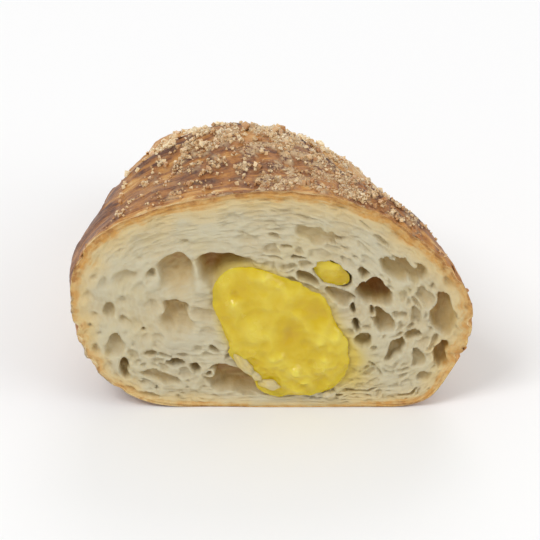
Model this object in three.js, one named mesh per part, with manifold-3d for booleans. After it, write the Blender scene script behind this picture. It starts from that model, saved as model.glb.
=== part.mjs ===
// Half of a cream-filled croissant, in millimetres, +Z up, resting on the plane z = 0.
// The cut face looks along -Y, and the horn runs back along +Y and turns towards -X.
// Three solids: the baked pastry, the filling that runs back through it, and a small pocket of filling.
import * as THREE from "three";
import { mergeVertices } from "three/addons/utils/BufferGeometryUtils.js";
import Module from "manifold-3d";

const wasm = await Module();
wasm.setup();

const TURN = 2 * Math.PI;
const radians = THREE.MathUtils.degToRad;
const clamp = THREE.MathUtils.clamp;
const lerp = THREE.MathUtils.lerp;
const smooth = THREE.MathUtils.smoothstep;

// ---- driving dimensions ----
const CUT_WIDTH = 70; // across the cut face
const CUT_HEIGHT = 44; // from the base to the top of the cut face
const LENGTH = 77; // along the middle of the roll, from the cut to the tip of the horn
const TIP_WIDTH = 22; // what the plain taper comes down to at the tip, before its end is rounded
const TIP_HEIGHT = 15;
const LEVEL_TOP = 22; // how far behind the cut the top stays level, before it slopes down to the tip
const TIP_BLUNTNESS = 12; // the power in the curve that rounds the tip off
const TIP_LIFT = 3; // the tip of the horn curls up clear of the table
const LIFT_START = 54; // from this far behind the cut
const CUT_Y = -34; // the cut plane, with the origin under the middle of the base
const CUT_HEADING = radians(5); // the cut is a little oblique to the roll
const HORN_TURN = radians(10); // how far the horn turns from there to its tip
const BELLY_SHARE = 0.45; // height of the widest level, as a share of the section's height
const BELLY_TILT = 0.05; // higher than that on the left, and lower on the right
const CREST_LEAN = { most: 4, from: 4, to: 28 }; // how far the crest leans to the left, behind the first wrap
const SHOULDER_FALL = { right: 0.6, left: 0.25 }; // how much faster than an oval the shoulders fall away
const FULL_SHOULDER = { fall: -0.4, run: 9 }; // on the left they start fuller than an oval, right behind the cut
const FOOT_POWER = { right: 0.46, left: 0.85 }; // the feet are fuller than an oval, which would be 1
const UNDERCUT = 1.16; // below that level the section is this much too deep, which leaves the base flat
const BASE_BLEND = 9; // the height over which the crust's relief fades out towards the flat base
const GAP = 0.3; // between the pastry and each piece of filling
// The base is a four-sided flat. One side is the cut face, and outside the others the underside rises a little.
// Each of them has the direction it looks in, in degrees, and its distance from the origin.
const REST_SIDES = [
  { heading: 180, reach: 17 },
  { heading: 18.25, reach: 5.5 },
  { heading: 90, reach: 13 },
];
const REST_RISE = Math.tan(radians(2));

// ---- how finely the surfaces are divided ----
const COLUMNS = 74;
const FACE_RINGS = 16;
const INNER_RING = 0.26; // the cut face's first ring, as a share of the way to its rim, inside the filling
const WRAP_ROWS = [6, 8, 10];

// ---- the roll ----
const BEND_RADIUS = LENGTH / HORN_TURN;

// The middle of the roll at a distance s behind the cut, and how far it has turned there.
function spine(s) {
  const turned = s / BEND_RADIUS;
  const heading = CUT_HEADING + turned;
  return {
    x: BEND_RADIUS * (Math.cos(heading) - Math.cos(CUT_HEADING)),
    y: CUT_Y + BEND_RADIUS * (Math.sin(heading) - Math.sin(CUT_HEADING)),
    turned,
  };
}

// The blunt end of the horn: 1 along the roll, and 0 at the tip.
function roundedEnd(s) {
  return Math.sqrt(1 - Math.min(1, s / LENGTH) ** TIP_BLUNTNESS);
}

// Half the width, and the height, of the roll at a distance s behind the cut.
function halfWidth(s) {
  return (lerp(CUT_WIDTH, TIP_WIDTH, s / LENGTH) / 2) * roundedEnd(s);
}
function height(s) {
  const slope = clamp((s - LEVEL_TOP) / (LENGTH - LEVEL_TOP), 0, 1);
  return lerp(CUT_HEIGHT, TIP_HEIGHT, slope) * roundedEnd(s);
}

// ---- the wraps of rolled dough: each ends in a lip that stands proud of the next ----
// The first lip runs slanting over the top: far back on the left, close behind the cut on the right.
const FIRST_LIP = { far: 24, near: 7.5, rises: [57, 74], falls: [215, 325] };
const SECOND_LIP = { mean: 49, swing: 4, turned: 60 };
const HORN = 2; // the number of the last wrap, which closes in the horn's tip
const STEP_HEIGHTS = [0, 3, 2.5]; // how deep each wrap starts under the lip before it
const STEP_RUN = 0.45; // the share of a wrap's length over which its skin comes up again
const LOW_STEP = { share: 0.25, angle: -25 }; // low on the right side a step is only this share of that
const LIP_TUCK = 0.8; // how far under the lip the next wrap starts
const LIP_ROUND = 1.4; // the radius of a lip's edge
const WRAP_BULGES = [1.2, 0.3, 0.7]; // how far each wrap swells out of the plain roll

// Where wrap number k ends, at the angle a in degrees round the roll: 0 is +X, 90 the top.
function lip(k, a) {
  const angle = ((a % 360) + 360) % 360;
  if (k === 0) return 0;
  if (k === 1) {
    const [r0, r1] = FIRST_LIP.rises;
    const [f0, f1] = FIRST_LIP.falls;
    const share = smooth(angle, r0, r1) * (1 - smooth(angle, f0, f1));
    return lerp(FIRST_LIP.near, FIRST_LIP.far, share);
  }
  if (k === 2) return SECOND_LIP.mean + SECOND_LIP.swing * Math.cos(radians(angle - SECOND_LIP.turned));
  return LENGTH;
}

// How far the skin of wrap k stands out of the plain roll, at the share u of the way along it:
// it starts low under the lip before it, swells up, and rounds over into its own lip.
function wrapRelief(k, u, a) {
  const onRight = Math.max(0, Math.cos(radians(a - LOW_STEP.angle)));
  const step = STEP_HEIGHTS[k] * lerp(1, LOW_STEP.share, onRight);
  const start = -step * (1 - smooth(u, 0, STEP_RUN)) ** 1.6;
  const swelling = WRAP_BULGES[k] * Math.sin(0.7 * Math.PI * u);
  if (k === HORN) return start + swelling * (1 - u);
  const toLip = (1 - u) * (lip(k + 1, a) - lip(k, a));
  const over = Math.max(0, 1 - toLip / LIP_ROUND);
  return start + swelling - LIP_ROUND * (1 - Math.sqrt(1 - over ** 2));
}

// The slow unevenness of a hand-rolled piece: waves along the roll and round it, which fade out at the tip.
const WAVES = [
  { size: 0.45, along: 0.16, round: 2, phase: 0.6 },
  { size: 0.35, along: 0.27, round: -3, phase: 2.1 },
  { size: 0.25, along: 0.41, round: 5, phase: 1.3 },
];
const WAVES_FADE_FROM = 66;
// High on the left the roll sinks in, some way behind the cut.
const LEFT_SINK = { depth: 2.3, angle: 124, spread: 22, starts: [7, 17], ends: [38, 62] };

function unevenness(s, a) {
  const t = radians(a);
  const sum = WAVES.reduce((total, w) => total + w.size * Math.sin(w.along * s + w.round * t + w.phase), 0);
  const away = ((((a % 360) + 360) % 360) - LEFT_SINK.angle) / LEFT_SINK.spread;
  const there = smooth(s, ...LEFT_SINK.starts) * (1 - smooth(s, ...LEFT_SINK.ends));
  return sum * (1 - smooth(s, WAVES_FADE_FROM, LENGTH)) - LEFT_SINK.depth * Math.exp(-(away ** 2)) * there;
}

// A point of the plain section at the angle a: above the widest level an oval whose right shoulder falls away
// faster, and below it a fuller oval that runs a little under the base.
function sectionPoint(s, a) {
  const w = halfWidth(s);
  const h = height(s);
  const c = Math.cos(radians(a));
  const n = Math.sin(radians(a));
  const belly = (BELLY_SHARE - BELLY_TILT * c) * h;
  const side = c > 0 ? "right" : "left";
  const fall = {
    right: SHOULDER_FALL.right,
    left: lerp(FULL_SHOULDER.fall, SHOULDER_FALL.left, smooth(s, 0, FULL_SHOULDER.run)),
  };
  const power = n > 0 ? 1 + fall[side] * (1 - n) : FOOT_POWER[side];
  const lean = CREST_LEAN.most * smooth(s, CREST_LEAN.from, CREST_LEAN.to) * Math.max(0, n) ** 2;
  const x = w * Math.sign(c) * Math.abs(c) ** power - lean * roundedEnd(s);
  const z = belly + (n > 0 ? h - belly : UNDERCUT * belly) * n;
  const outward = new THREE.Vector2(c / Math.max(w, 1), n / Math.max(h / 2, 1)).normalize();
  return { x, z, outward };
}

// A point of the crust: s along the roll, a in degrees round it, out its distance outside the plain roll.
function crustPoint(s, a, out) {
  const section = sectionPoint(s, a);
  const relief = out * smooth(section.z, 0, BASE_BLEND);
  const x = section.x + section.outward.x * relief;
  const lifted = TIP_LIFT * smooth(s, LIFT_START, LENGTH) ** 2;
  const z = Math.max(0, section.z + section.outward.y * relief) + lifted;
  const at = spine(s);
  return new THREE.Vector3(at.x + x * Math.cos(at.turned), at.y + x * Math.sin(at.turned), z);
}

// The skin at the share u of wrap k, which starts a little way under the lip before it.
function wrapPoint(k, u, a) {
  const s = lerp(wrapStart(k, a), lip(k + 1, a), u);
  return crustPoint(s, a, wrapRelief(k, u, a) + unevenness(s, a));
}
function wrapStart(k, a) {
  return lip(k, a) - (k > 0 ? LIP_TUCK : 0);
}

// The skin at a distance s behind the cut, whichever wrap covers it there.
function skinAt(s, a) {
  let k = 0;
  while (k < HORN && s > lip(k + 1, a)) k += 1;
  const from = wrapStart(k, a);
  return wrapPoint(k, (s - from) / (lip(k + 1, a) - from), a);
}

// ---- the open crumb of the cut face ----
// The larger air pockets: middle, half width, half height, lean in degrees, and depth.
const AIR_POCKETS = [
  { x: -15.6, z: 25.1, w: 3.8, h: 4.3, lean: 0, deep: 3.4 },
  { x: -8.2, z: 27.6, w: 4.4, h: 3.1, lean: -8, deep: 6.5 },
  { x: -16.4, z: 18.1, w: 2.8, h: 4.3, lean: 14, deep: 4.5 },
  { x: -22.6, z: 26.2, w: 3.2, h: 2.9, lean: 10, deep: 2 },
  { x: -28.0, z: 18.5, w: 1.6, h: 3.5, lean: -14, deep: 2.6 },
  { x: -26.8, z: 12.8, w: 2.1, h: 3.5, lean: 6, deep: 3.6 },
  { x: -16.2, z: 8.7, w: 2.6, h: 1.6, lean: -12, deep: 5 },
  { x: -5.4, z: 5.2, w: 6.4, h: 2.2, lean: -14, deep: 8 },
  { x: 18.2, z: 22.9, w: 3.4, h: 2.6, lean: -38, deep: 9 },
  { x: 22.9, z: 27.6, w: 4.0, h: 2.4, lean: -24, deep: 4.5 },
  { x: 30.4, z: 18.1, w: 2.1, h: 4.4, lean: 4, deep: 4.5 },
  { x: 30.0, z: 10.1, w: 1.7, h: 2.9, lean: -8, deep: 4 },
  { x: 19.4, z: 16.9, w: 2.0, h: 2.0, lean: 0, deep: 5 },
  { x: 22.2, z: 11.7, w: 1.5, h: 2.9, lean: -34, deep: 4 },
  { x: 9.2, z: 35.2, w: 3.8, h: 1.5, lean: -8, deep: 2.4 },
];

function pocketShare(pocket, x, z) {
  const t = radians(pocket.lean);
  const dx = x - pocket.x;
  const dz = z - pocket.z;
  return Math.hypot(
    (dx * Math.cos(t) + dz * Math.sin(t)) / pocket.w,
    (dz * Math.cos(t) - dx * Math.sin(t)) / pocket.h,
  );
}

// How far the crumb lies behind the cut plane at a point of the face: fine ripples, and the pockets.
const RIPPLE_DEPTH = 0.25;

function crumbDepth(x, z) {
  let deepest = RIPPLE_DEPTH * (1 + Math.sin(0.9 * x + 0.5 * z) * Math.sin(1.1 * z - 0.4 * x));
  for (const pocket of AIR_POCKETS) {
    const share = pocketShare(pocket, x, z);
    if (share < 1) deepest = Math.max(deepest, pocket.deep * (1 - share ** 2.4));
  }
  return deepest;
}

// ---- the filling ----
// Each lobe is an oval on the cut face, long and short being its half sizes and lean in degrees.
// It bulges out in front of the cut plane, or starts behind it, and runs back to a blunt end.
const CREAM = {
  x: 2.3,
  z: 15.2,
  long: 14.2,
  short: 9.2,
  lean: -50,
  bulge: 2.4,
  front: 0,
  back: 46,
  blunt: 0.62,
  lumps: 1,
  columns: 28,
  rows: 16,
};
const POCKET = {
  x: 10.9,
  z: 26.9,
  long: 3.6,
  short: 2.1,
  lean: -33,
  bulge: 0.4,
  front: 0.9,
  back: 9,
  blunt: 0.9,
  lumps: 0.4,
  columns: 12,
  rows: 8,
};
const FACE_MIDDLE = { x: CREAM.x, z: CREAM.z };

// The lumps on a lobe's outline: waves round it, which shift along it.
const LUMPS = [
  { size: 0.5, round: 3, along: 0, phase: 0.8 },
  { size: 0.4, round: 5, along: 1, phase: 2.2 },
  { size: 0.3, round: 2, along: 3, phase: 0 },
];

// A point of a lobe: phi runs from its front to its back end and t round it, both in radians.
// All of the lobe is moved out by grow.
function creamPoint(lobe, phi, t, grow) {
  const lean = t - radians(lobe.lean);
  const oval = 1 / Math.hypot(Math.cos(lean) / lobe.long, Math.sin(lean) / lobe.short);
  const lumpy = LUMPS.reduce((sum, l) => sum + l.size * Math.sin(l.round * t + l.along * phi + l.phase), 0);
  const ahead = phi < Math.PI / 2;
  const share = ahead ? Math.sin(phi) : Math.sin(phi) ** lobe.blunt;
  const radius = (oval + lobe.lumps * lumpy + grow) * share;
  const reach = (ahead ? lobe.bulge : lobe.back) + grow;
  const s = lobe.front - reach * Math.cos(phi);
  const at = spine(Math.max(0, s));
  return new THREE.Vector3(
    at.x + lobe.x + radius * Math.cos(t),
    s > 0 ? at.y : CUT_Y + s,
    lobe.z + radius * Math.sin(t),
  );
}

// ---- sugar: blocky crystals on the upper crust, the largest first ----
const CRYSTALS = 104;
const CRYSTAL = {
  first: 2.4,
  last: 1.3,
  uneven: [0.85, 1.1],
  width: [0.6, 0.95],
  height: [0.6, 0.9],
  proud: 0.1,
};
// The field lies along the roll and in degrees round it. It thins out to its sides and on the horn.
const SUGAR_FIELD = {
  from: 2,
  to: 60,
  middle: 80,
  spread: 62,
  narrow: 34,
  thinsOut: [26, 50],
  thinShare: 0.35,
};
const EVEN_STEPS = [0.7548776662, 0.569840291]; // the two steps of an even spread over a square

// A repeatable number from 0 to 1 for the draw i of the kind k.
function draw(i, k) {
  const v = Math.sin(i * 12.9898 + k * 78.233) * 43758.5453;
  return v - Math.floor(v);
}
function drawFrom([low, high], i, k) {
  return lerp(low, high, draw(i, k));
}

// How thickly the sugar lies at a point of the skin.
function sugarShare(s, a) {
  const top = Math.exp(-(((a - SUGAR_FIELD.middle) / SUGAR_FIELD.narrow) ** 2));
  const [from, to] = SUGAR_FIELD.thinsOut;
  return top * lerp(1, SUGAR_FIELD.thinShare, smooth(s, from, to));
}

// Points spread evenly over the field, thinned out where the sugar is thin.
function sugarPlaces(count) {
  const places = [];
  for (let i = 1; places.length < count; i += 1) {
    const s = lerp(SUGAR_FIELD.from, SUGAR_FIELD.to, (i * EVEN_STEPS[0]) % 1);
    const a = SUGAR_FIELD.middle + SUGAR_FIELD.spread * (2 * ((i * EVEN_STEPS[1]) % 1) - 1);
    if (draw(i, 1) < sugarShare(s, a)) places.push({ i, s, a });
  }
  return places;
}

// ---- making the solids ----
// A sphere's mesh whose points are moved by place(row, column): closed, with a pole at each end.
function wrapSphere(columns, rows, place) {
  const geometry = new THREE.SphereGeometry(1, columns, rows);
  const position = geometry.getAttribute("position");
  for (let row = 0; row <= rows; row += 1) {
    for (let column = 0; column <= columns; column += 1) {
      const p = place(row, column % columns);
      position.setXYZ(row * (columns + 1) + column, p.x, p.y, p.z);
    }
  }
  return geometry;
}

function toSolid(geometry) {
  const bare = geometry.clone();
  bare.deleteAttribute("normal");
  bare.deleteAttribute("uv");
  const merged = mergeVertices(bare, 1e-3);
  return new wasm.Manifold(
    new wasm.Mesh({
      numProp: 3,
      vertProperties: new Float32Array(merged.getAttribute("position").array),
      triVerts: new Uint32Array(merged.index.array),
    }),
  );
}

function toGeometry(solid) {
  const mesh = solid.getMesh();
  return new THREE.BufferGeometry()
    .setAttribute("position", new THREE.BufferAttribute(mesh.vertProperties, 3))
    .setIndex(new THREE.BufferAttribute(mesh.triVerts, 1));
}

function columnAngle(column, columns) {
  return (360 * column) / columns - 90;
}

// The cut face is rings from its middle to the rim, and the crust is the rows of each wrap in turn.
// A wrap's rows lie closer together towards its lip, and the horn's towards its tip.
function breadSolid() {
  const rows = [{ face: 0 }];
  for (let j = 0; j < FACE_RINGS; j += 1) {
    rows.push({ face: lerp(INNER_RING, 1, j / (FACE_RINGS - 1)) });
  }
  WRAP_ROWS.forEach((count, k) => {
    for (let j = k === 0 ? 1 : 0; j <= count; j += 1) {
      const share = j / count;
      rows.push({ wrap: k, u: k === HORN ? Math.sin((Math.PI / 2) * share) : 1 - (1 - share) ** 1.8 });
    }
  });
  const geometry = wrapSphere(COLUMNS, rows.length - 1, (row, column) => {
    const { face, wrap, u } = rows[row];
    const a = columnAngle(column, COLUMNS);
    if (face === undefined) return wrapPoint(wrap, u, a);
    const rim = wrapPoint(0, 0, a);
    const x = lerp(FACE_MIDDLE.x, rim.x, face);
    const z = lerp(FACE_MIDDLE.z, rim.z, face);
    return new THREE.Vector3(x, CUT_Y + (face < 1 ? crumbDepth(x, z) : 0), z);
  });
  return rested(toSolid(geometry));
}

// Trims the underside outside the flat that the part rests on.
function rested(solid) {
  return REST_SIDES.reduce((left, { heading, reach }) => {
    const t = radians(heading);
    const plane = new THREE.Vector3(-REST_RISE * Math.cos(t), -REST_RISE * Math.sin(t), 1);
    return left.trimByPlane(plane.toArray(), (-REST_RISE * reach) / plane.length());
  }, solid);
}

function creamSolid(lobe, grow) {
  const geometry = wrapSphere(lobe.columns, lobe.rows, (row, column) =>
    creamPoint(lobe, (Math.PI * row) / lobe.rows, radians(columnAngle(column, lobe.columns)), grow),
  );
  return toSolid(geometry);
}

// One crystal: a block turned at random, with its middle just outside the skin.
function crystalSolid({ i, s, a }, order) {
  const size = lerp(CRYSTAL.first, CRYSTAL.last, order) * drawFrom(CRYSTAL.uneven, i, 2);
  const block = new THREE.BoxGeometry(
    size,
    size * drawFrom(CRYSTAL.width, i, 3),
    size * drawFrom(CRYSTAL.height, i, 4),
  );
  const turn = new THREE.Euler(TURN * draw(i, 5), TURN * draw(i, 6), TURN * draw(i, 7));
  const here = skinAt(s, a);
  const along = skinAt(s + 0.4, a).sub(here);
  const round = skinAt(s, a + 1).sub(here);
  const middle = here.addScaledVector(along.cross(round).normalize(), CRYSTAL.proud * size);
  block.applyMatrix4(new THREE.Matrix4().makeRotationFromEuler(turn).setPosition(middle));
  return toSolid(block);
}

function pastrySolid() {
  const places = sugarPlaces(CRYSTALS);
  const crystals = places.map((place, n) => crystalSolid(place, n / (CRYSTALS - 1)));
  const sugared = wasm.Manifold.union([breadSolid(), ...crystals]);
  const hollowed = sugared.subtract(creamSolid(CREAM, GAP)).subtract(creamSolid(POCKET, GAP));
  // a loose scrap of crumb between two air pockets is dropped
  return hollowed.decompose().reduce((a, b) => (a.volume() > b.volume() ? a : b));
}

// ---- the object ----
const CRUST_BROWN = new THREE.MeshStandardMaterial({ color: 0xc58d50, roughness: 0.62, metalness: 0 });
const CREAM_YELLOW = new THREE.MeshStandardMaterial({ color: 0xe2bd3a, roughness: 0.32, metalness: 0 });

function named(name, solid, material) {
  const mesh = new THREE.Mesh(toGeometry(solid), material);
  mesh.name = name;
  return mesh;
}

const croissantHalf = new THREE.Group();
croissantHalf.add(
  named("pastry", pastrySolid(), CRUST_BROWN),
  named("cream", creamSolid(CREAM, 0), CREAM_YELLOW),
  named("cream_pocket", creamSolid(POCKET, 0), CREAM_YELLOW),
);

export default croissantHalf;
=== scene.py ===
"""Makes the looks of half a cream-filled croissant: crust, open crumb, custard, sugar and flakes."""

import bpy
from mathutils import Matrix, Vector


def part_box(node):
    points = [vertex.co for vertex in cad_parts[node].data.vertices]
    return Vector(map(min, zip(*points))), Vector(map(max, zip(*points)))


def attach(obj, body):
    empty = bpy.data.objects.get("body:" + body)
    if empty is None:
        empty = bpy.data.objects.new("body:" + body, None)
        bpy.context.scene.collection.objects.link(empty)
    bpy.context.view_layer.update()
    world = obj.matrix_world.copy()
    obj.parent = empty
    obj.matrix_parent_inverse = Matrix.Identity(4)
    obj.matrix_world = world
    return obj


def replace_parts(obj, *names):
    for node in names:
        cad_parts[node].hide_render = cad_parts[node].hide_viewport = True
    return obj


bl_info = {
    "name": "Cream Croissant Half",
    "version": (1, 0, 0),
    "blender": (4, 5, 0),
    "location": "3D View > Sidebar > Croissant",
    "description": "Makes half of a sugared croissant, cut across to show its crumb and its custard",
    "category": "Add Mesh",
}

import math
from types import SimpleNamespace

import bmesh
import bpy
import numpy as np
from bpy.props import FloatProperty, FloatVectorProperty, IntProperty, PointerProperty
from mathutils import Euler, Matrix, Vector, noise

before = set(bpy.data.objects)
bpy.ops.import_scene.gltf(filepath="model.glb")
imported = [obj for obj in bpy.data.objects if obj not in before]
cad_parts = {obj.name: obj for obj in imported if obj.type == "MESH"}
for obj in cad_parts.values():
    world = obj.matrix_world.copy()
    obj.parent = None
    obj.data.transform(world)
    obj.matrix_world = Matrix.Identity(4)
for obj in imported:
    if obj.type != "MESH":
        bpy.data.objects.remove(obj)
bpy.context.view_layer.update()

MM = 0.001
CUT_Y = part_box("pastry")[0].y / MM

# ---- the roll, in millimetres: the same formulas as the solids, plus what is too fine for them ----
CUT_WIDTH = 70
CUT_HEIGHT = 44
LENGTH = 77
TIP_WIDTH = 22
TIP_HEIGHT = 15
LEVEL_TOP = 22
TIP_BLUNTNESS = 12
TIP_LIFT = 3
LIFT_START = 54
CUT_HEADING = math.radians(5)
BEND_RADIUS = LENGTH / math.radians(10)
BELLY_SHARE = 0.45
BELLY_TILT = 0.05
CREST_LEAN = {"most": 4, "from": 4, "to": 28}
SHOULDER_FALL = {"right": 0.6, "left": 0.25}
FULL_SHOULDER = {"fall": -0.4, "run": 9}
FOOT_POWER = {"right": 0.46, "left": 0.85}
UNDERCUT = 1.16
BASE_BLEND = 9
BASE_ROUND = 2.4

FIRST_LIP = {"far": 24, "near": 7.5, "rises": (57, 74), "falls": (215, 325)}
SECOND_LIP = {"mean": 49, "swing": 4, "turned": 60}
HORN = 2
STEP_HEIGHTS = (0, 3, 2.5)
STEP_RUN = 0.45
STEP_SHAPE = 1.6
LOW_STEP = {"share": 0.25, "angle": -25}
LIP_TUCK = 0.8
LIP_ROUND = 1.4
WRAP_BULGES = (1.2, 0.3, 0.7)
BULGE_REACH = 0.7
# waves of the skin: size, along the roll, round it, phase
WAVES = ((0.45, 0.16, 2, 0.6), (0.35, 0.27, -3, 2.1), (0.25, 0.41, 5, 1.3))
WAVES_FADE_FROM = 66
LEFT_SINK = {"depth": 2.3, "angle": 124, "spread": 22, "starts": (7, 17), "ends": (38, 62)}
# how raggedly a lip runs: size, waves round the roll, phase for each wrap
RAGGED_LIP = ((0.3, 7, 1.3), (0.22, 13, 2.1), (0.14, 29, 0.7))


def smooth(x, low, high):
    t = np.clip((x - low) / (high - low), 0, 1)
    return t * t * (3 - 2 * t)


def lerp(a, b, t):
    return a + (b - a) * t


def spine(s):
    """The middle of the roll at a distance s behind the cut, and how far it has turned there."""
    turned = s / BEND_RADIUS
    heading = CUT_HEADING + turned
    x = BEND_RADIUS * (np.cos(heading) - math.cos(CUT_HEADING))
    y = CUT_Y + BEND_RADIUS * (np.sin(heading) - math.sin(CUT_HEADING))
    return x, y, turned


def section_size(s):
    """Half the width, and the height, of the roll at a distance s behind the cut, and its end's rounding."""
    rounded = np.sqrt(np.maximum(0, 1 - np.minimum(1, s / LENGTH) ** TIP_BLUNTNESS))
    slope = np.clip((s - LEVEL_TOP) / (LENGTH - LEVEL_TOP), 0, 1)
    half_width = lerp(CUT_WIDTH, TIP_WIDTH, s / LENGTH) / 2 * rounded
    return half_width, lerp(CUT_HEIGHT, TIP_HEIGHT, slope) * rounded, rounded


def above_table(z):
    """Heights cut off at the table, with the edge between the side and the flat base rounded."""
    return np.where(z > BASE_ROUND, z, np.maximum(0, z + BASE_ROUND) ** 2 / (4 * BASE_ROUND))


def crust_point(s, a, out):
    """Points of the crust: s along the roll, a in degrees round it, out outside the plain roll."""
    w, h, rounded = section_size(s)
    c, n = np.cos(np.radians(a)), np.sin(np.radians(a))
    belly = (BELLY_SHARE - BELLY_TILT * c) * h
    settled = smooth(s, 0, FULL_SHOULDER["run"])
    fall_left = lerp(FULL_SHOULDER["fall"], SHOULDER_FALL["left"], settled)
    fall = np.where(c > 0, SHOULDER_FALL["right"], fall_left)
    foot = np.where(c > 0, FOOT_POWER["right"], FOOT_POWER["left"])
    power = np.where(n > 0, 1 + fall * (1 - n), foot)
    lean = CREST_LEAN["most"] * smooth(s, CREST_LEAN["from"], CREST_LEAN["to"]) * np.maximum(0, n) ** 2
    side = w * np.sign(c) * np.abs(c) ** power - lean * rounded
    rise = belly + np.where(n > 0, h - belly, UNDERCUT * belly) * n
    out_x, out_z = c / np.maximum(w, 1), n / np.maximum(h / 2, 1)
    size = np.hypot(out_x, out_z)
    relief = out * smooth(rise, 0, BASE_BLEND)
    side = side + out_x / size * relief
    lifted = TIP_LIFT * smooth(s, LIFT_START, LENGTH) ** 2
    z = above_table(rise + out_z / size * relief) + lifted
    x, y, turned = spine(s)
    return np.stack([x + side * np.cos(turned), y + side * np.sin(turned), z], axis=-1)


def ragged(k, a):
    t = np.radians(a)
    return sum(size * np.sin(waves * t + phase * (k + 1)) for size, waves, phase in RAGGED_LIP)


def lip(k, a):
    """Where wrap k starts and the one before it ends, at each angle round the roll."""
    angle = np.mod(a, 360)
    if k == 0:
        return 0 * angle
    if k == 1:
        share = smooth(angle, *FIRST_LIP["rises"]) * (1 - smooth(angle, *FIRST_LIP["falls"]))
        return lerp(FIRST_LIP["near"], FIRST_LIP["far"], share) + ragged(k, a)
    if k == HORN:
        swing = SECOND_LIP["swing"] * np.cos(np.radians(angle - SECOND_LIP["turned"]))
        return SECOND_LIP["mean"] + swing + ragged(k, a)
    return 0 * angle + LENGTH


def wrap_relief(k, u, a):
    """How far the skin of wrap k stands out of the plain roll at the share u of the way along it."""
    on_right = np.maximum(0, np.cos(np.radians(a - LOW_STEP["angle"])))
    step = STEP_HEIGHTS[k] * lerp(1, LOW_STEP["share"], on_right)
    start = -step * (1 - smooth(u, 0, STEP_RUN)) ** STEP_SHAPE
    swelling = WRAP_BULGES[k] * np.sin(BULGE_REACH * np.pi * u)
    if k == HORN:
        return start + swelling * (1 - u)
    to_lip = (1 - u) * (lip(k + 1, a) - lip(k, a))
    over = np.clip(1 - to_lip / LIP_ROUND, 0, 1)
    return start + swelling - LIP_ROUND * (1 - np.sqrt(1 - over**2))


def unevenness(s, a):
    t = np.radians(a)
    waves = sum(size * np.sin(along * s + around * t + phase) for size, along, around, phase in WAVES)
    away = (np.mod(a, 360) - LEFT_SINK["angle"]) / LEFT_SINK["spread"]
    there = smooth(s, *LEFT_SINK["starts"]) * (1 - smooth(s, *LEFT_SINK["ends"]))
    return waves * (1 - smooth(s, WAVES_FADE_FROM, LENGTH)) - LEFT_SINK["depth"] * np.exp(-(away**2)) * there


def wrap_place(k, u, a):
    """The distance behind the cut, and the distance outside the plain roll, at the share u of wrap k."""
    start = lip(k, a) - (LIP_TUCK if k else 0)
    s = lerp(start, lip(k + 1, a), u)
    return s, wrap_relief(k, u, a) + unevenness(s, a)


def skin_at(s, a):
    """Points of the skin at a distance s behind the cut, on whichever wrap covers it there."""
    points = np.zeros(s.shape + (3,))
    for k in range(HORN + 1):
        start, end = lip(k, a) - (LIP_TUCK if k else 0), lip(k + 1, a)
        here = (s > lip(k, a)) | (k == 0)
        out = wrap_relief(k, (s - start) / (end - start), a) + unevenness(s, a)
        points = np.where(here[..., None], crust_point(s, a, out), points)
    return points


# ---- the filling ----
CREAM = {"x": 2.3, "z": 15.2, "long": 14.2, "short": 9.2, "lean": -50, "bulge": 2.4, "front": 0,
         "back": 46, "blunt": 0.62, "lumps": 1}
POCKET = {"x": 10.9, "z": 26.9, "long": 3.6, "short": 2.1, "lean": -33, "bulge": 0.4, "front": 0.9,
          "back": 9, "blunt": 0.9, "lumps": 0.4}
# waves of a lobe's outline: size, round it, along it, phase
LOBE_WAVES = ((0.5, 3, 0, 0.8), (0.4, 5, 1, 2.2), (0.3, 2, 3, 0))


def cream_point(lobe, phi, t, grow, bulge=None):
    """Points of a lobe of cream: phi from its front to its back, t round it, all of it moved out by grow."""
    lean = t - math.radians(lobe["lean"])
    oval = 1 / np.hypot(np.cos(lean) / lobe["long"], np.sin(lean) / lobe["short"])
    lumpy = sum(size * np.sin(around * t + along * phi + phase) for size, around, along, phase in LOBE_WAVES)
    ahead = phi < np.pi / 2
    sine = np.maximum(0, np.sin(phi))
    radius = (oval + lobe["lumps"] * lumpy + grow) * np.where(ahead, sine, sine ** lobe["blunt"])
    reach = np.where(ahead, lobe["bulge"] if bulge is None else bulge, lobe["back"]) + grow
    s = lobe["front"] - reach * np.cos(phi)
    x, y, _ = spine(np.maximum(0, s))
    y = np.where(s > 0, y, CUT_Y + s)
    return np.stack([x + lobe["x"] + radius * np.cos(t), y, lobe["z"] + radius * np.sin(t)], axis=-1)


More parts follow.
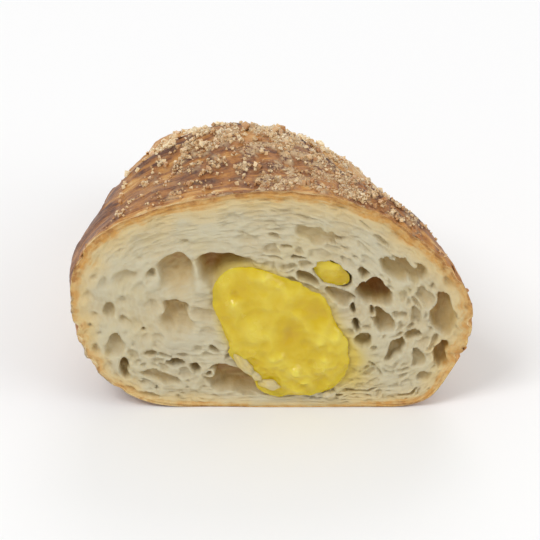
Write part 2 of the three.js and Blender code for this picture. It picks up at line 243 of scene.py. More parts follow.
# ---- the crumb of the cut face: x, z, half width, half height, lean in degrees, depth ----
AIR_POCKETS = (
    (-16.0, 26.4, 3.9, 4.5, 0, 2.8),
    (-7.8, 27.4, 5.4, 3.6, -8, 4.8),
    (-16.2, 17.6, 2.8, 4.2, 14, 2.6),
    (-20.5, 26.5, 1.6, 1.9, 10, 1.5),
    (-25.0, 26.0, 2.2, 1.9, 10, 1.1),
    (-28.3, 18.6, 1.1, 2.8, -14, 1.5),
    (-26.9, 12.8, 1.6, 2.3, 6, 2.0),
    (-16.4, 8.7, 1.8, 1.1, -12, 4.6),
    (-5.6, 5.3, 6.0, 2.4, -16, 4.4),
    (18.2, 22.9, 3.2, 2.3, -38, 6.8),
    (22.9, 27.9, 4.0, 2.4, -24, 3.8),
    (30.4, 18.4, 1.9, 4.3, 4, 4.0),
    (29.9, 10.3, 1.6, 2.7, -8, 4.4),
    (19.9, 17.4, 1.8, 1.9, 0, 4),
    (22.4, 11.9, 1.2, 2.7, -34, 3.4),
    (8.8, 34.6, 4.0, 1.5, -10, 1.6),
    (-25.2, 7.9, 0.8, 2.2, 0, 3.6),
    (-13.4, 7.7, 0.9, 1.4, 20, 3.6),
    (-10.5, 6.6, 1.2, 0.9, -20, 3.4),
    (-9.8, 11.7, 0.7, 1.1, 30, 2.4),
    (-19.0, 5.7, 3.6, 0.7, -15, 1.7),
    (-23.3, 2.9, 4.4, 0.7, -12, 1.4),
    (-20.7, 11.0, 1.2, 0.8, 20, 1.4),
    (-22.3, 15.8, 0.8, 0.9, 0, 1.2),
    (-26.4, 22.4, 0.6, 0.5, 0, 1.5),
    (-25.6, 17.0, 1.3, 1.2, 30, 0.9),
    (15.6, 16.7, 0.8, 1.6, 0, 5),
    (15.8, 13.9, 1.2, 0.9, 0, 4),
    (18.3, 18.6, 0.5, 1.3, 20, 4.5),
    (24.8, 14.8, 1.0, 1.1, 30, 2.2),
    (25.8, 9.9, 0.9, 1.9, -10, 1.8),
    (12.6, 22.6, 3.0, 1.4, -25, 2.6),
    (14.9, 20.4, 0.6, 1.5, 25, 5),
    (6.9, 26.2, 2.2, 0.9, -32, 3),
    (16.5, 26.6, 1.6, 0.7, -38, 3),
    (19.4, 34.0, 3.0, 0.5, -25, 0.9),
    (21.0, 30.4, 1.3, 0.4, -30, 2),
    (-0.4, 30.8, 2.2, 0.5, -4, 1.4),
    (5.3, 30.6, 1.5, 0.5, -12, 2),
    (15.8, 3.0, 3.8, 0.35, 4, 1.5),
    (11.9, 2.3, 0.6, 0.5, 0, 2.4),
    (24.3, 3.3, 2.4, 0.4, 14, 1.3),
    (27.6, 6.2, 0.9, 1.5, 30, 1.6),
    (18.7, 7.9, 0.5, 1.9, 40, 1.4),
    (27.2, 22.4, 1.3, 2.1, 24, 1.4),
    (25.6, 18.4, 0.9, 1.6, 10, 1.2),
)
POCKET_CELL = (POCKET["x"], POCKET["z"], POCKET["long"] - 0.1, POCKET["short"] - 0.1, POCKET["lean"], 9.6)
CELL_TRIES = 2600
CELL_SEED = 7
CELL_LEAN = 25  # degrees that a small cell may lean away from the rim
CELL_SPACING = 0.8
SMALLER_BY_RIM = {"share": 0.5, "from": 0.8, "to": 6}
BOTTOM_BELOW = 12.5
LEFT_OF = -1
# the smaller cells of each part of the face: longer half, its share that is the shorter one, depth
CELL_KINDS = {
    "top": ((1.2, 3.0), (0.12, 0.24), (0.2, 0.5)),
    "left": ((1.3, 3.0), (0.45, 0.85), (0.25, 0.7)),
    "right": ((0.8, 2.1), (0.35, 0.75), (0.5, 1.2)),
    "bottom": ((0.6, 1.6), (0.4, 0.8), (0.3, 0.9)),
}
# how a cell's wall and edge slope: in firm crumb, then in soft crumb below and above the cell's middle
WALL_FROM = 0.06
WALL_TO = (0.35, 1.8, 0.6)
EDGE_FROM = (0.92, 0.1, 0.8)
EDGE_TO = (1.12, 1.5, 1.12)
BOWL = {"edge": 0.5, "size": 1.3, "tilt_firm": 0.3, "tilt_soft": 0.75}
# bits of crumb that lap over the cream's edge:
# x, z, half length, half width, lean in degrees, how far they stand out
CRUMB_BITS = (
    (-4.3, 9.2, 2.6, 0.9, -46, 1.1), (0.1, 5.3, 2.0, 0.95, -14, 1.1), (-2.3, 7.0, 1.2, 0.7, -50, 0.9),
    (10.6, 2.7, 1.2, 0.7, 20, 0.6),
)
TUCK_UNDER = -0.3  # the crumb's edge lies this far inside the custard, so that they meet
DENSE_TOP = {"thick": 8, "from": 22, "to": 158}  # the fine layered crumb under the top crust
# the crust's section at the cut: angle round the roll with its thickness, and with how brown it is
RIM_THICKNESS = (
    (-90, 0.5), (-45, 1.2), (0, 1.7), (30, 1.6), (60, 1.6), (110, 1.8), (160, 1.6), (200, 1.0), (240, 0.9),
    (270, 0.5),
)
RIM_BROWN = (
    (-90, 0.9), (-45, 0.7), (0, 0.6), (40, 0.85), (120, 0.9), (165, 0.75), (190, 0.35), (240, 0.45),
    (270, 0.9),
)

# ---- how finely the pastry's mesh is divided ----
COLUMNS = 400
CAVITY_ROWS = 12
FACE_ROWS = 106
WRAP_ROWS = (34, 40, 42)
ROWS_GATHERED = 0.6  # how much the rows of a wrap gather at its lips
CAVITY = -2
FACE = -1


def nearest_rim(points, rim):
    """The distance of each face point (x, z) to the rim, and the rim point it is nearest to."""
    best = np.full(len(points), 1e9)
    which = np.zeros(len(points), int)
    for i, spot in enumerate(rim):
        d = np.hypot(points[:, 0] - spot[0], points[:, 1] - spot[1])
        closer = d < best
        best[closer] = d[closer]
        which[closer] = i
    return best, which


def oval_reach(dx, dz, w, h, lean):
    """How far a step from an oval's middle goes, as a share of the way to its edge."""
    t = math.radians(lean)
    return np.hypot((dx * math.cos(t) + dz * math.sin(t)) / w, (dz * math.cos(t) - dx * math.sin(t)) / h)


def cell_kind(x, z, to_rim, angle):
    if DENSE_TOP["from"] < angle < DENSE_TOP["to"] and to_rim < DENSE_TOP["thick"]:
        return "top"
    if z < BOTTOM_BELOW:
        return "bottom"
    return "left" if x < LEFT_OF else "right"


def crumb_cells(rim, inner):
    """The cells of the crumb: the pockets named above, and smaller ones that fill the space between them."""
    cells = [POCKET_CELL, *AIR_POCKETS]
    rng = np.random.default_rng(CELL_SEED)
    column = rng.integers(0, len(rim), CELL_TRIES)
    share = np.sqrt(rng.uniform(0, 1, CELL_TRIES))
    tries = lerp(inner[column], rim[column], share[:, None])
    to_rim, nearest = nearest_rim(tries, rim)
    tangent = np.roll(rim, -2, axis=0) - np.roll(rim, 2, axis=0)
    along = np.degrees(np.arctan2(tangent[:, 1], tangent[:, 0]))[nearest]
    angle = np.mod(360 * nearest / len(rim) - 90, 360)
    size = lerp(SMALLER_BY_RIM["share"], 1, smooth(to_rim, SMALLER_BY_RIM["from"], SMALLER_BY_RIM["to"]))
    for i, (x, z) in enumerate(tries):
        kind = CELL_KINDS[cell_kind(x, z, to_rim[i], angle[i])]
        long, flat, deep = (rng.uniform(*limits) for limits in kind)
        long *= size[i]
        lean = along[i] + rng.uniform(-CELL_LEAN, CELL_LEAN)
        if not any(crowds(x - cx, z - cz, w, h, tilt, long, flat) for cx, cz, w, h, tilt, _ in cells):
            cells.append((x, z, long, long * flat, lean, deep))
    return cells


def crowds(dx, dz, w, h, tilt, long, flat):
    """Whether a new cell, a step away from an old one, would lie too close to it."""
    reach = max(w, h) + long
    if abs(dx) > reach or abs(dz) > reach:
        return False
    return oval_reach(dx, dz, w, h, tilt) < 1 + CELL_SPACING * flat * long / min(w, h)


def by_softness(slopes, soft, up):
    firm, soft_below, soft_above = slopes
    return lerp(firm, lerp(soft_below, soft_above, up), soft)


def crumb_relief(points, cells, soft):
    """How deep each face point lies in its cell, and how deep that cell is.

    Where the crumb is soft, a cell has a clear edge above and fades out below.
    """
    first = np.full(len(points), 1e9)
    second = np.full(len(points), 1e9)
    deep, rise, up = (np.zeros(len(points)) for _ in range(3))
    size = np.ones(len(points))
    for cx, cz, w, h, lean, depth in cells:
        dx, dz = points[:, 0] - cx, points[:, 1] - cz
        d = oval_reach(dx, dz, w, h, lean)
        closer = d < first
        second = np.where(closer, first, np.minimum(second, d))
        first = np.where(closer, d, first)
        deep = np.where(closer, depth, deep)
        size = np.where(closer, min(w, h), size)
        rise = np.where(closer, dz / max(w, h), rise)
        up = np.where(closer, 0.5 + 0.5 * dz / np.maximum(0.01, np.hypot(dx, dz)), up)
    wall = (second - first) * size / 2
    inside = smooth(wall, WALL_FROM, by_softness(WALL_TO, soft, up))
    inside *= 1 - smooth(first, by_softness(EDGE_FROM, soft, up), by_softness(EDGE_TO, soft, up))
    bowl = lerp(BOWL["edge"], 1, np.sqrt(np.maximum(0, 1 - (first / BOWL["size"]) ** 2)))
    bowl *= 1 + lerp(BOWL["tilt_firm"], BOWL["tilt_soft"], soft) * np.clip(rise, -1, 1)
    return deep * inside * bowl, deep


def bell(flat, x, z, wide, high):
    """A soft spot on the face: 1 at its middle, fading out over its half width and half height."""
    return np.exp(-(((flat[:, 0] - x) / wide) ** 2) - ((flat[:, 1] - z) / high) ** 2)


# patterns of noise: the size of their features, octaves, and a shift that sets each apart
PATTERNS = {
    "blisters": (7, 3, 0),
    "creases": (1.1, 3, 11),
    "pits": (2.6, 2, 5),
    "patches": (11, 4, 3),
    "crinkles": (0.9, 3, 61),
    "strip": (2.5, 3, 71),
    "melted sugar": (1.8, 2, 41),
    "notches": (1.0, 3, 31),
    "softness": (6, 2, 9),
    "warp in x": (3.6, 2, 81),
    "warp in z": (3.6, 2, 82),
    "strands": (1.1, 3, 4),
    "crumb folds": (4.2, 2, 14),
    "crumb swell": (8, 3, 0),
    "crumb grain": (0.8, 2, 4),
    "smear": (3, 2, 33),
    "rim": (5, 2, 21),
    "frill": (3, 2, 0),
    "bit colour": (1.5, 2, 0),
    "bit stain": (2, 2, 3),
    "custard outline": (5, 2, 51),
    "custard fringe": (1.2, 3, 52),
    "custard creases": (8, 2, 2),
    "custard wrinkles": (3, 2, 6),
    "custard curds": (1.8, 2, 12),
    "custard swell": (3.5, 2, 8),
    "flakes": (9, 2, 0),
}
SHIFT_IN_Y = 0.7


def field(points, pattern):
    """Smooth noise from about -1 to 1 at each point."""
    size, octaves, shift = PATTERNS[pattern]
    offset = Vector((shift, SHIFT_IN_Y * shift, -shift))
    return np.array([noise.fractal(Vector(p) / size + offset, 1.0, 2.0, octaves) for p in points])


def around(turn, radius, along):
    """Points on a tube of that radius, where patterns that follow the roll are read."""
    return np.stack([radius * np.cos(turn), radius * np.sin(turn), along], axis=-1)


def ridges(values, thin):
    """Thin ridges, from 0 to 1, where a pattern of noise crosses zero."""
    return np.clip(1 - np.abs(values) * thin, 0, 1)


# ---- helpers for meshes and materials ----
def finished_mesh(bm, name):
    mesh = bpy.data.meshes.new(name)
    bm.to_mesh(mesh)
    bm.free()
    return mesh


def sphere_mesh(name, columns, rows, place):
    """A closed mesh from a UV sphere: place() turns each point's row and column into millimetres."""
    bm = bmesh.new()
    bmesh.ops.create_uvsphere(bm, u_segments=columns, v_segments=rows, radius=1)
    mesh = finished_mesh(bm, name)
    co = np.empty(len(mesh.vertices) * 3)
    mesh.vertices.foreach_get("co", co)
    x, y, z = co.reshape(-1, 3).T
    row = np.rint(np.arccos(np.clip(z, -1, 1)) / np.pi * rows).astype(int)
    column = np.rint(np.arctan2(y, x) / (2 * np.pi) * columns).astype(int) % columns
    points = place(row, column)
    mesh.vertices.foreach_set("co", (points * MM).ravel())
    mesh.update()
    return mesh


def points_of(mesh):
    return np.array([vert.co / MM for vert in mesh.vertices])


def paint(mesh, marks):
    """Stores a number or a vector for each point, under each name, which the materials read."""
    for name, values in marks.items():
        if np.ndim(values) > 1:
            layer = mesh.attributes.new(name, "FLOAT_VECTOR", "POINT")
            layer.data.foreach_set("vector", np.ravel(values))
        else:
            layer = mesh.attributes.new(name, "FLOAT", "POINT")
            layer.data.foreach_set("value", np.full(len(mesh.vertices), values, float))


def new_piece(name, mesh, materials):
    """Links a finished mesh as a piece that rides on the part's one body."""
    mesh.polygons.foreach_set("use_smooth", [True] * len(mesh.polygons))
    piece = bpy.data.objects.new(name, mesh)
    bpy.context.scene.collection.objects.link(piece)
    for material in materials:
        mesh.materials.append(material)
    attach(piece, "root")
    return piece


def srgb(red, green, blue):
    """A colour given as 0 to 255, as the linear values that materials take."""
    shares = (red / 255, green / 255, blue / 255)
    return tuple(c / 12.92 if c <= 0.04045 else ((c + 0.055) / 1.055) ** 2.4 for c in shares)


NOISE_RANGE = (0.3, 0.7)  # nearly all of a noise texture's values


class Shader:
    """A material's node tree, built one named node at a time."""

    def __init__(self, name, roughness, **sockets):
        self.material = bpy.data.materials.new(name)
        self.material.use_nodes = True
        self.tree = self.material.node_tree
        self.surface = self.tree.nodes["Principled BSDF"]
        self.surface.inputs["Roughness"].default_value = roughness
        for socket, value in sockets.items():
            self.surface.inputs[socket.replace("_", " ")].default_value = value

    def node(self, kind, inputs=None, **settings):
        node = self.tree.nodes.new("ShaderNode" + kind)
        for key, value in settings.items():
            setattr(node, key, value)
        for key, value in (inputs or {}).items():
            if isinstance(value, bpy.types.NodeSocket):
                self.tree.links.new(value, node.inputs[key])
            else:
                node.inputs[key].default_value = value
        return node

    def attribute(self, name, output="Fac"):
        return self.node("Attribute", attribute_name=name).outputs[output]

    def noise(self, scale, detail=4, vector=None, roughness=0.55):
        vector = vector or self.node("TexCoord").outputs["Object"]
        inputs = {"Vector": vector, "Scale": scale, "Detail": detail, "Roughness": roughness}
        return self.node("TexNoise", inputs).outputs["Fac"]

    def math(self, operation, first, second, clamp=False):
        return self.node("Math", {0: first, 1: second}, operation=operation, use_clamp=clamp).outputs[0]

    def between(self, value, low, high, to_low=0.0, to_high=1.0):
        inputs = {"Value": value, "From Min": low, "From Max": high, "To Min": to_low, "To Max": to_high}
        return self.node("MapRange", inputs).outputs[0]

    def vary(self, value, pattern, most, share=None):
        """A value moved up or down by up to most, or by a share of that, as a noise texture goes."""
        change = self.between(pattern, *NOISE_RANGE, -most, most)
        if share is not None:
            change = self.math("MULTIPLY", share, change)
        return self.math("ADD", value, change)

    def mix(self, share, first, second):
        node = self.node("Mix", data_type="RGBA", blend_type="MIX")
        for index, value in ((0, share), (6, first), (7, second)):
            if isinstance(value, bpy.types.NodeSocket):
                self.tree.links.new(value, node.inputs[index])
            elif index:
                node.inputs[index].default_value = (*value[:3], 1)
            else:
                node.inputs[index].default_value = value
        return node.outputs[2]

    def ramp(self, share, stops):
        node = self.node("ValToRGB", {"Fac": share})
        ramp = node.color_ramp
        while len(ramp.elements) < len(stops):
            ramp.elements.new(0.5)
        for element, (place, colour) in zip(ramp.elements, stops):
            element.position = place
            element.color = (*colour[:3], 1)
        return node.outputs["Color"]

    def bump(self, height, distance, strength=1.0, normal=None):
        inputs = {"Height": height, "Distance": distance, "Strength": strength}
        if normal:
            inputs["Normal"] = normal
        return self.node("Bump", inputs).outputs["Normal"]

    def finish(self, colour, normal, roughness=None):
        self.tree.links.new(colour, self.surface.inputs["Base Color"])
        self.tree.links.new(normal, self.surface.inputs["Normal"])
        if roughness:
            self.tree.links.new(roughness, self.surface.inputs["Roughness"])
        return self.material


# ---- what a user would change ----
def colour_property(name, description, *rgb):
    return FloatVectorProperty(
        name=name, description=description, subtype="COLOR", size=3, min=0, max=1, default=srgb(*rgb))


class CroissantColours(bpy.types.PropertyGroup):
    crust_palest: colour_property("Palest crust", "Bare layers of stretched dough", 232, 208, 160)
    crust_pale: colour_property("Pale crust", "Stretched dough beside the lips", 222, 190, 134)
    crust_gold: colour_property("Golden crust", "Lightly baked crust", 205, 153, 86)
    crust_amber: colour_property("Amber crust", "Crust baked a little more", 184, 128, 66)
    crust_brown: colour_property("Brown crust", "Well baked crust", 156, 102, 56)
    crust_dark: colour_property("Dark crust", "The darkest edges of the crust", 94, 58, 42)
    blush: colour_property("Blush", "Orange patches of the egg wash", 200, 124, 52)
    crumb: colour_property("Crumb", "Skins between the cells of the crumb", 196, 187, 158)
    crumb_tan: colour_property("Tan crumb", "Warmer patches of the crumb", 200, 182, 128)
    crumb_grey: colour_property("Grey crumb", "Cooler patches of the crumb", 168, 162, 146)
    # the two deeper crumb colours are partly the cells' warmer inside and partly painted shade, darker the
    # deeper a point lies in its cell
    crumb_deep_shaded: colour_property("Deep crumb", "Inside of the cells", 190, 162, 106)
    crumb_deepest_shaded: colour_property("Deepest crumb", "The bottom of the deepest cells", 172, 122, 64)
    crumb_stained: colour_property("Stained crumb", "Crumb that has soaked up cream", 206, 180, 70)
    rim_inner: colour_property("Inner rim", "Crumb a little browned, inside the crust", 212, 182, 118)
    rim: colour_property("Rim", "The crust's section at the cut", 198, 148, 76)
    rim_outer: colour_property("Outer rim", "The darkest outside of the crust's section", 150, 100, 50)
    # the light and deep custard colours are painted light on the lumps and painted shade in the creases
    custard: colour_property("Custard", "Body of the cream", 206, 176, 8)
    custard_lit_lumps: colour_property("Light custard", "Smooth lumps of the cream", 222, 204, 76)
    custard_crease_shade: colour_property("Deep custard", "Creases of the cream", 196, 156, 4)
    sugar: colour_property("Sugar", "The whitest crystals", 252, 224, 182)
    sugar_dull: colour_property("Dull sugar", "Crystals that have coloured a little", 214, 176, 130)
    sugar_brown: colour_property("Brown sugar", "Crystals that have browned", 180, 130, 84)
    glaze: colour_property("Glaze", "Sugar melted into the crust", 204, 172, 130)
    floor: colour_property("Floor", "The studio floor", 244, 244, 244)


class CroissantSizes(bpy.types.PropertyGroup):
    crust_relief: FloatProperty(
        name="Crust relief", description="Height of the crust's fine blisters and folds",
        default=0.3 * MM, min=0, unit="LENGTH")
    crumb_depth: FloatProperty(
        name="Crumb depth", description="How deep the crumb's cells are, as a share of the usual",
        default=1, min=0)
    coarse_sugar: IntProperty(
        name="Coarse sugar", description="How many clumps of large sugar crystals lie on the crust",
        default=104, min=1)
    fine_sugar: IntProperty(
        name="Fine sugar", description="How many small sugar crystals lie on the crust", default=4400, min=0)
    flakes: IntProperty(
        name="Flakes", description="How many loose flakes of crust there are", default=54, min=0)
    view_distance: FloatProperty(
        name="View distance", description="From the camera to the cut face", default=900 * MM, unit="LENGTH")
    view_width: FloatProperty(
        name="View width", description="How much the picture takes in at the cut face",
        default=94 * MM, unit="LENGTH")


# ---- the pastry ----
def crust_material(colours):
    s = Shader(
        "croissant_crust", 0.5, Subsurface_Weight=0.1, Subsurface_Scale=0.0012,
        Subsurface_Radius=(1.0, 0.6, 0.3), Coat_Weight=0.08, Coat_Roughness=0.3, Specular_IOR_Level=0.35)
    roll, streaky = s.attribute("roll", "Vector"), s.attribute("streak")
    streaks = s.noise(0.75, 5, roll, 0.65)
    lines = s.noise(2.8, 4, roll, 0.6)
    mottle = s.noise(230, 6, roughness=0.62)
    baked = s.vary(s.attribute("bake"), streaks, 0.3, streaky)
    baked = s.vary(baked, lines, 0.18, s.math("ADD", streaky, 0.25))
    baked = s.vary(baked, mottle, 0.13)
    baked = s.vary(baked, s.noise(1300, 4, roughness=0.65), 0.09)
    colour = s.ramp(baked, (
        (0.0, colours.crust_palest), (0.14, colours.crust_pale), (0.36, colours.crust_gold),
        (0.52, colours.crust_amber), (0.7, colours.crust_brown), (1.0, colours.crust_dark)))
    # the egg wash has browned to orange in places
    blush = s.between(s.noise(55, 3), 0.5, 0.68, 0, 0.5)
    blush = s.math("MULTIPLY", blush, s.between(streaky, 0.4, 0.5, 1, 0.2))
    blush = s.math("MULTIPLY", blush, s.between(baked, 0.2, 0.4))
    colour = s.mix(blush, colour, colours.blush)
    # sugar that has melted into the crust leaves a greyish, grainy glaze
    grains = s.noise(620, 4, roughness=0.7)
    glaze = s.math("MULTIPLY", s.between(s.attribute("glaze"), 0, 0.7), s.between(grains, 0.44, 0.54))
    colour = s.mix(s.math("MULTIPLY", glaze, 0.9), colour, colours.glaze)
    normal = s.bump(streaks, 0.0005, 0.4)
    normal = s.bump(lines, 0.0004, 0.45, normal)
    normal = s.bump(s.noise(900, 5), 0.0004, 0.5, normal)
    normal = s.bump(s.math("MULTIPLY", s.attribute("glaze"), grains), 0.0009, 0.8, normal)
    return s.finish(colour, normal, s.between(mottle, *NOISE_RANGE, 0.36, 0.6))


def crumb_material(colours):
    s = Shader(
        "croissant_crumb", 0.6, Subsurface_Weight=0.25, Subsurface_Scale=0.002,
        Subsurface_Radius=(1.0, 0.8, 0.5))
    fine = s.noise(1100, 4)
    layers = s.noise(1.6, 4, s.attribute("roll", "Vector"), 0.6)
    # deeper in its cell the crumb is painted darker and browner: partly the cells' warmer inside, mostly
    # painted shade
    depth_shade = s.vary(s.attribute("depth_shade"), s.noise(160, 4), 0.08)
    depth_shade = s.vary(depth_shade, layers, 0.09)
    depth_shade = s.vary(depth_shade, fine, 0.06)
    halfway = lerp(np.array(colours.crumb), np.array(colours.crumb_deep_shaded), 0.5)
    colour = s.ramp(depth_shade, (
        (0.0, colours.crumb), (0.4, halfway), (0.75, colours.crumb_deep_shaded), (1.0, colours.crumb_deepest_shaded)))
    tone = s.noise(95, 3)
    colour = s.mix(s.between(tone, 0.56, 0.75, 0, 0.45), colour, colours.crumb_tan)
    colour = s.mix(s.between(tone, 0.44, 0.25, 0, 0.35), colour, colours.crumb_grey)
    colour = s.mix(s.attribute("soak"), colour, colours.crumb_stained)
    # the crust's section: how far in from the outside, as a share of the crust's thickness there
    edge = s.math("ADD", s.attribute("rim"), s.between(s.noise(420, 5), 0.25, 0.75, -0.35, 0.35))
    edge = s.vary(edge, layers, 0.35)
    colour = s.mix(s.math("MULTIPLY", s.between(edge, 3.2, 0.8), 0.75), colour, colours.rim_inner)
    flecks, brown = s.noise(700, 4, roughness=0.65), s.attribute("brown")
    for tone, band, least, most in (
            (colours.rim, (1.25, 0.75), -0.3, 0.3), (colours.rim_outer, (0.45, 0.1), -0.6, 0.1)):
        share = s.math("ADD", brown, s.between(flecks, 0.4, 0.6, least, most))
        colour = s.mix(s.math("MULTIPLY", s.between(edge, *band), share, True), colour, tone)
    normal = s.bump(fine, 0.0003, 0.4)
    normal = s.bump(layers, 0.0004, 0.25, normal)
    normal = s.bump(s.noise(3200, 2), 0.0002, 0.35, normal)
    return s.finish(colour, normal, s.between(depth_shade, 0, 1, 0.66, 0.42))


# the crust's surface, where three values in brackets are for the three wraps
ROLL_RADIUS = 3.5  # of the tube where its patterns are read: less than the real one, so they stretch round it
WRAPS_APART = 40
CRUST_RELIEF = {"creases": 0.55, "pits": 0.8, "layers": 0.5, "sunk": 0.5}
PITS = (0.3, 0.8)  # where their noise starts one, and where it is deepest
HORN_LAYERS = {"apart": 1.3, "wavy": 2, "fade": 10, "from": 3}
LIP_LAYERS = {"apart": 0.85, "wavy": 3, "fade": 2.5}
LIP_CRINKLES = {"high": 1.6, "close": 2.2, "fade": 3.5}
PALE_STRIP = {"narrow": 1.5, "wide": 9, "patchy": 1.2, "less_on_top": 0.3, "uneven": 0.5, "creased": 0.35,
              "full": 0.2, "gone": 1.3}
STRIP_LAYERS = {"high": 0.8, "apart": 0.7, "wavy": 5}
GLAZE = {"most": 1.2, "mean": 0.8, "uneven": 0.9, "torn": 0.35, "torn_at_right": 0.3}
NOTCHES = {"radius": 9, "deep": 1.3, "on_top": 0.25, "fade": 1.6, "low": (-0.9, 0.1), "beside": (0.2, 0.7),
           "calm": (-0.6, 1.2)}
TIP = {"level": -0.2, "share": 0.8}
BAKE = {"wraps": (0.68, 0.4, 0.46), "patches": 0.3, "creases": 0.1, "pits": 0.1,
        "sugared": (0.26, 0.14, 0.1), "full_sugar": 0.2}
LIP_BAKE = {"wraps": (0.3, 0.2), "fade": 2.4, "layers": 0.1, "layers_fade": 3}
HORN_BAKE = {"tip": 0.16, "from": 62, "layers": 0.1}
STRIP_BAKE = {"level": 0.1, "layers": 0.12}
FLANK = {"faces": (0.1, 0.8), "bake": 0.14, "mottled": 0.3, "less": 0.16, "from": 9, "to": 17}
TORN_LINE = {"at": 2.2, "wide": 0.7, "blisters": 0.3, "broken": (-0.15, 0.2), "pale": 0.5}
GOLD_EDGE = {"bake": 0.42, "flank": 0.2, "creases": 0.25, "patches": 0.2, "share": 0.85, "wide": 1.2}
STREAKS = {"wraps": (0.5, 0.4, 0.35), "flank": 0.35, "fade": (14, 24), "strip": 0.6}
UNDERSIDE = {"bake": 0.6, "patches": 0.2, "from": 0.2, "to": 4}


def pastry_rows():
    """What each row of the pastry's mesh is: the kind of row, and the share of the way along that kind."""
    rows = [(CAVITY, j / CAVITY_ROWS) for j in range(CAVITY_ROWS)]
    rows += [(FACE, j / FACE_ROWS) for j in range(FACE_ROWS + 1)]
    for k, count in enumerate(WRAP_ROWS):
        for j in range(0 if k else 1, count + 1):
            share = j / count
            gathered = share - ROWS_GATHERED * math.sin(2 * math.pi * share) / (2 * math.pi)
            rows.append((k, math.sin(math.pi / 2 * share) if k == HORN else gathered))
    return rows


def rings(distance, apart, wavy, pattern):
    """Waves over a distance, bent by a pattern of noise."""
    return np.sin(2 * np.pi * distance / apart + wavy * pattern)


def dough_layers(k, skin):
    """Edges of the thin layers of dough: all over the horn, and behind the lips of the other wraps."""
    if k == HORN:
        layers = rings(skin.to_lip, HORN_LAYERS["apart"], HORN_LAYERS["wavy"], skin.blisters)
        layers = layers * np.exp(-skin.to_lip / HORN_LAYERS["fade"])
        return layers * smooth(skin.to_lip, 0, HORN_LAYERS["from"])
    layers = rings(skin.to_lip, LIP_LAYERS["apart"], LIP_LAYERS["wavy"], skin.creases)
    crinkles = field(skin.roll * (LIP_CRINKLES["close"], LIP_CRINKLES["close"], 1), "crinkles")
    crinkles = LIP_CRINKLES["high"] * crinkles * np.exp(-skin.to_lip / LIP_CRINKLES["fade"])
    return layers * np.exp(-skin.to_lip / LIP_LAYERS["fade"]) + crinkles


def pale_strip(skin):
    """Where the dough has stretched beside a lip: 1 at the lip, down to 0 past an uneven width."""
    share = 0.5 + PALE_STRIP["patchy"] * skin.patches - PALE_STRIP["less_on_top"] * np.sin(skin.turn)
    uneven = 1 + PALE_STRIP["uneven"] * field(skin.roll, "strip") + PALE_STRIP["creased"] * skin.creases
    width = lerp(PALE_STRIP["narrow"], PALE_STRIP["wide"], np.clip(share, 0, 1)) * uneven
    return 1 - smooth(skin.from_lip, PALE_STRIP["full"] * width, PALE_STRIP["gone"] * width)


def notch_cut_edge(detail, skin):
    """Calms the crust's relief at the cut, and notches its edge there, mostly at the sides."""
    notches = np.maximum(0, field(around(skin.turn, NOTCHES["radius"], skin.s), "notches"))
    low, beside = -np.sin(skin.turn), np.abs(np.cos(skin.turn))
    sides = smooth(low, *NOTCHES["low"]) * smooth(beside, *NOTCHES["beside"])
    notches = NOTCHES["deep"] * notches * (NOTCHES["on_top"] + sides) * np.exp(-skin.s / NOTCHES["fade"])
    return detail * smooth(skin.s, *NOTCHES["calm"]) - notches


def crust_bake(k, skin):
    """How brown the crust of wrap k is, from 0 for pale dough to 1 for the darkest crust."""
    bake = BAKE["wraps"][k] + BAKE["patches"] * skin.patches
    bake = bake + BAKE["creases"] * skin.creases - BAKE["pits"] * skin.pits
    if k < HORN:
        bake = bake + LIP_BAKE["wraps"][k] * np.exp(-skin.to_lip / LIP_BAKE["fade"])
        bake = bake - LIP_BAKE["layers"] * skin.layers * np.exp(-skin.to_lip / LIP_BAKE["layers_fade"])
    else:
        bake = bake + HORN_BAKE["tip"] * smooth(skin.s, HORN_BAKE["from"], LENGTH)
        bake = bake - HORN_BAKE["layers"] * skin.layers
    bake = lerp(bake, STRIP_BAKE["level"] - STRIP_BAKE["layers"] * skin.layers, skin.pale)
    if k == 0:
        mottled = FLANK["mottled"] * skin.creases + FLANK["mottled"] * skin.blisters
        mottled = mottled - FLANK["less"] * skin.flank
        bake = bake + FLANK["bake"] * skin.flank - TORN_LINE["pale"] * skin.torn
        bake = bake + mottled * smooth(skin.s, FLANK["from"], FLANK["to"])
        gold = GOLD_EDGE["bake"] - GOLD_EDGE["flank"] * skin.flank + GOLD_EDGE["creases"] * skin.creases
        gold = gold + GOLD_EDGE["patches"] * skin.patches
        bake = lerp(bake, gold, GOLD_EDGE["share"] * np.exp(-((skin.s / GOLD_EDGE["wide"]) ** 2)))
    height = skin.plain[:, 2] - TIP_LIFT * smooth(skin.s, LIFT_START, LENGTH) ** 2
    beneath = 1 - smooth(height, UNDERSIDE["from"], UNDERSIDE["to"])
    bake = lerp(bake, UNDERSIDE["bake"] + UNDERSIDE["patches"] * skin.patches, beneath)
    return bake + BAKE["sugared"][k] * smooth(skin.sugar, 0, BAKE["full_sugar"])


def crust_streaks(k, skin):
    """How strongly wrap k is streaked: most on the left flank of the first wrap."""
    streaks = STREAKS["wraps"][k]
    if k == 0:
        streaks = streaks + STREAKS["flank"] * skin.flank * (1 - smooth(skin.s, *STREAKS["fade"]))
    return streaks * (1 - STREAKS["strip"] * skin.pale)


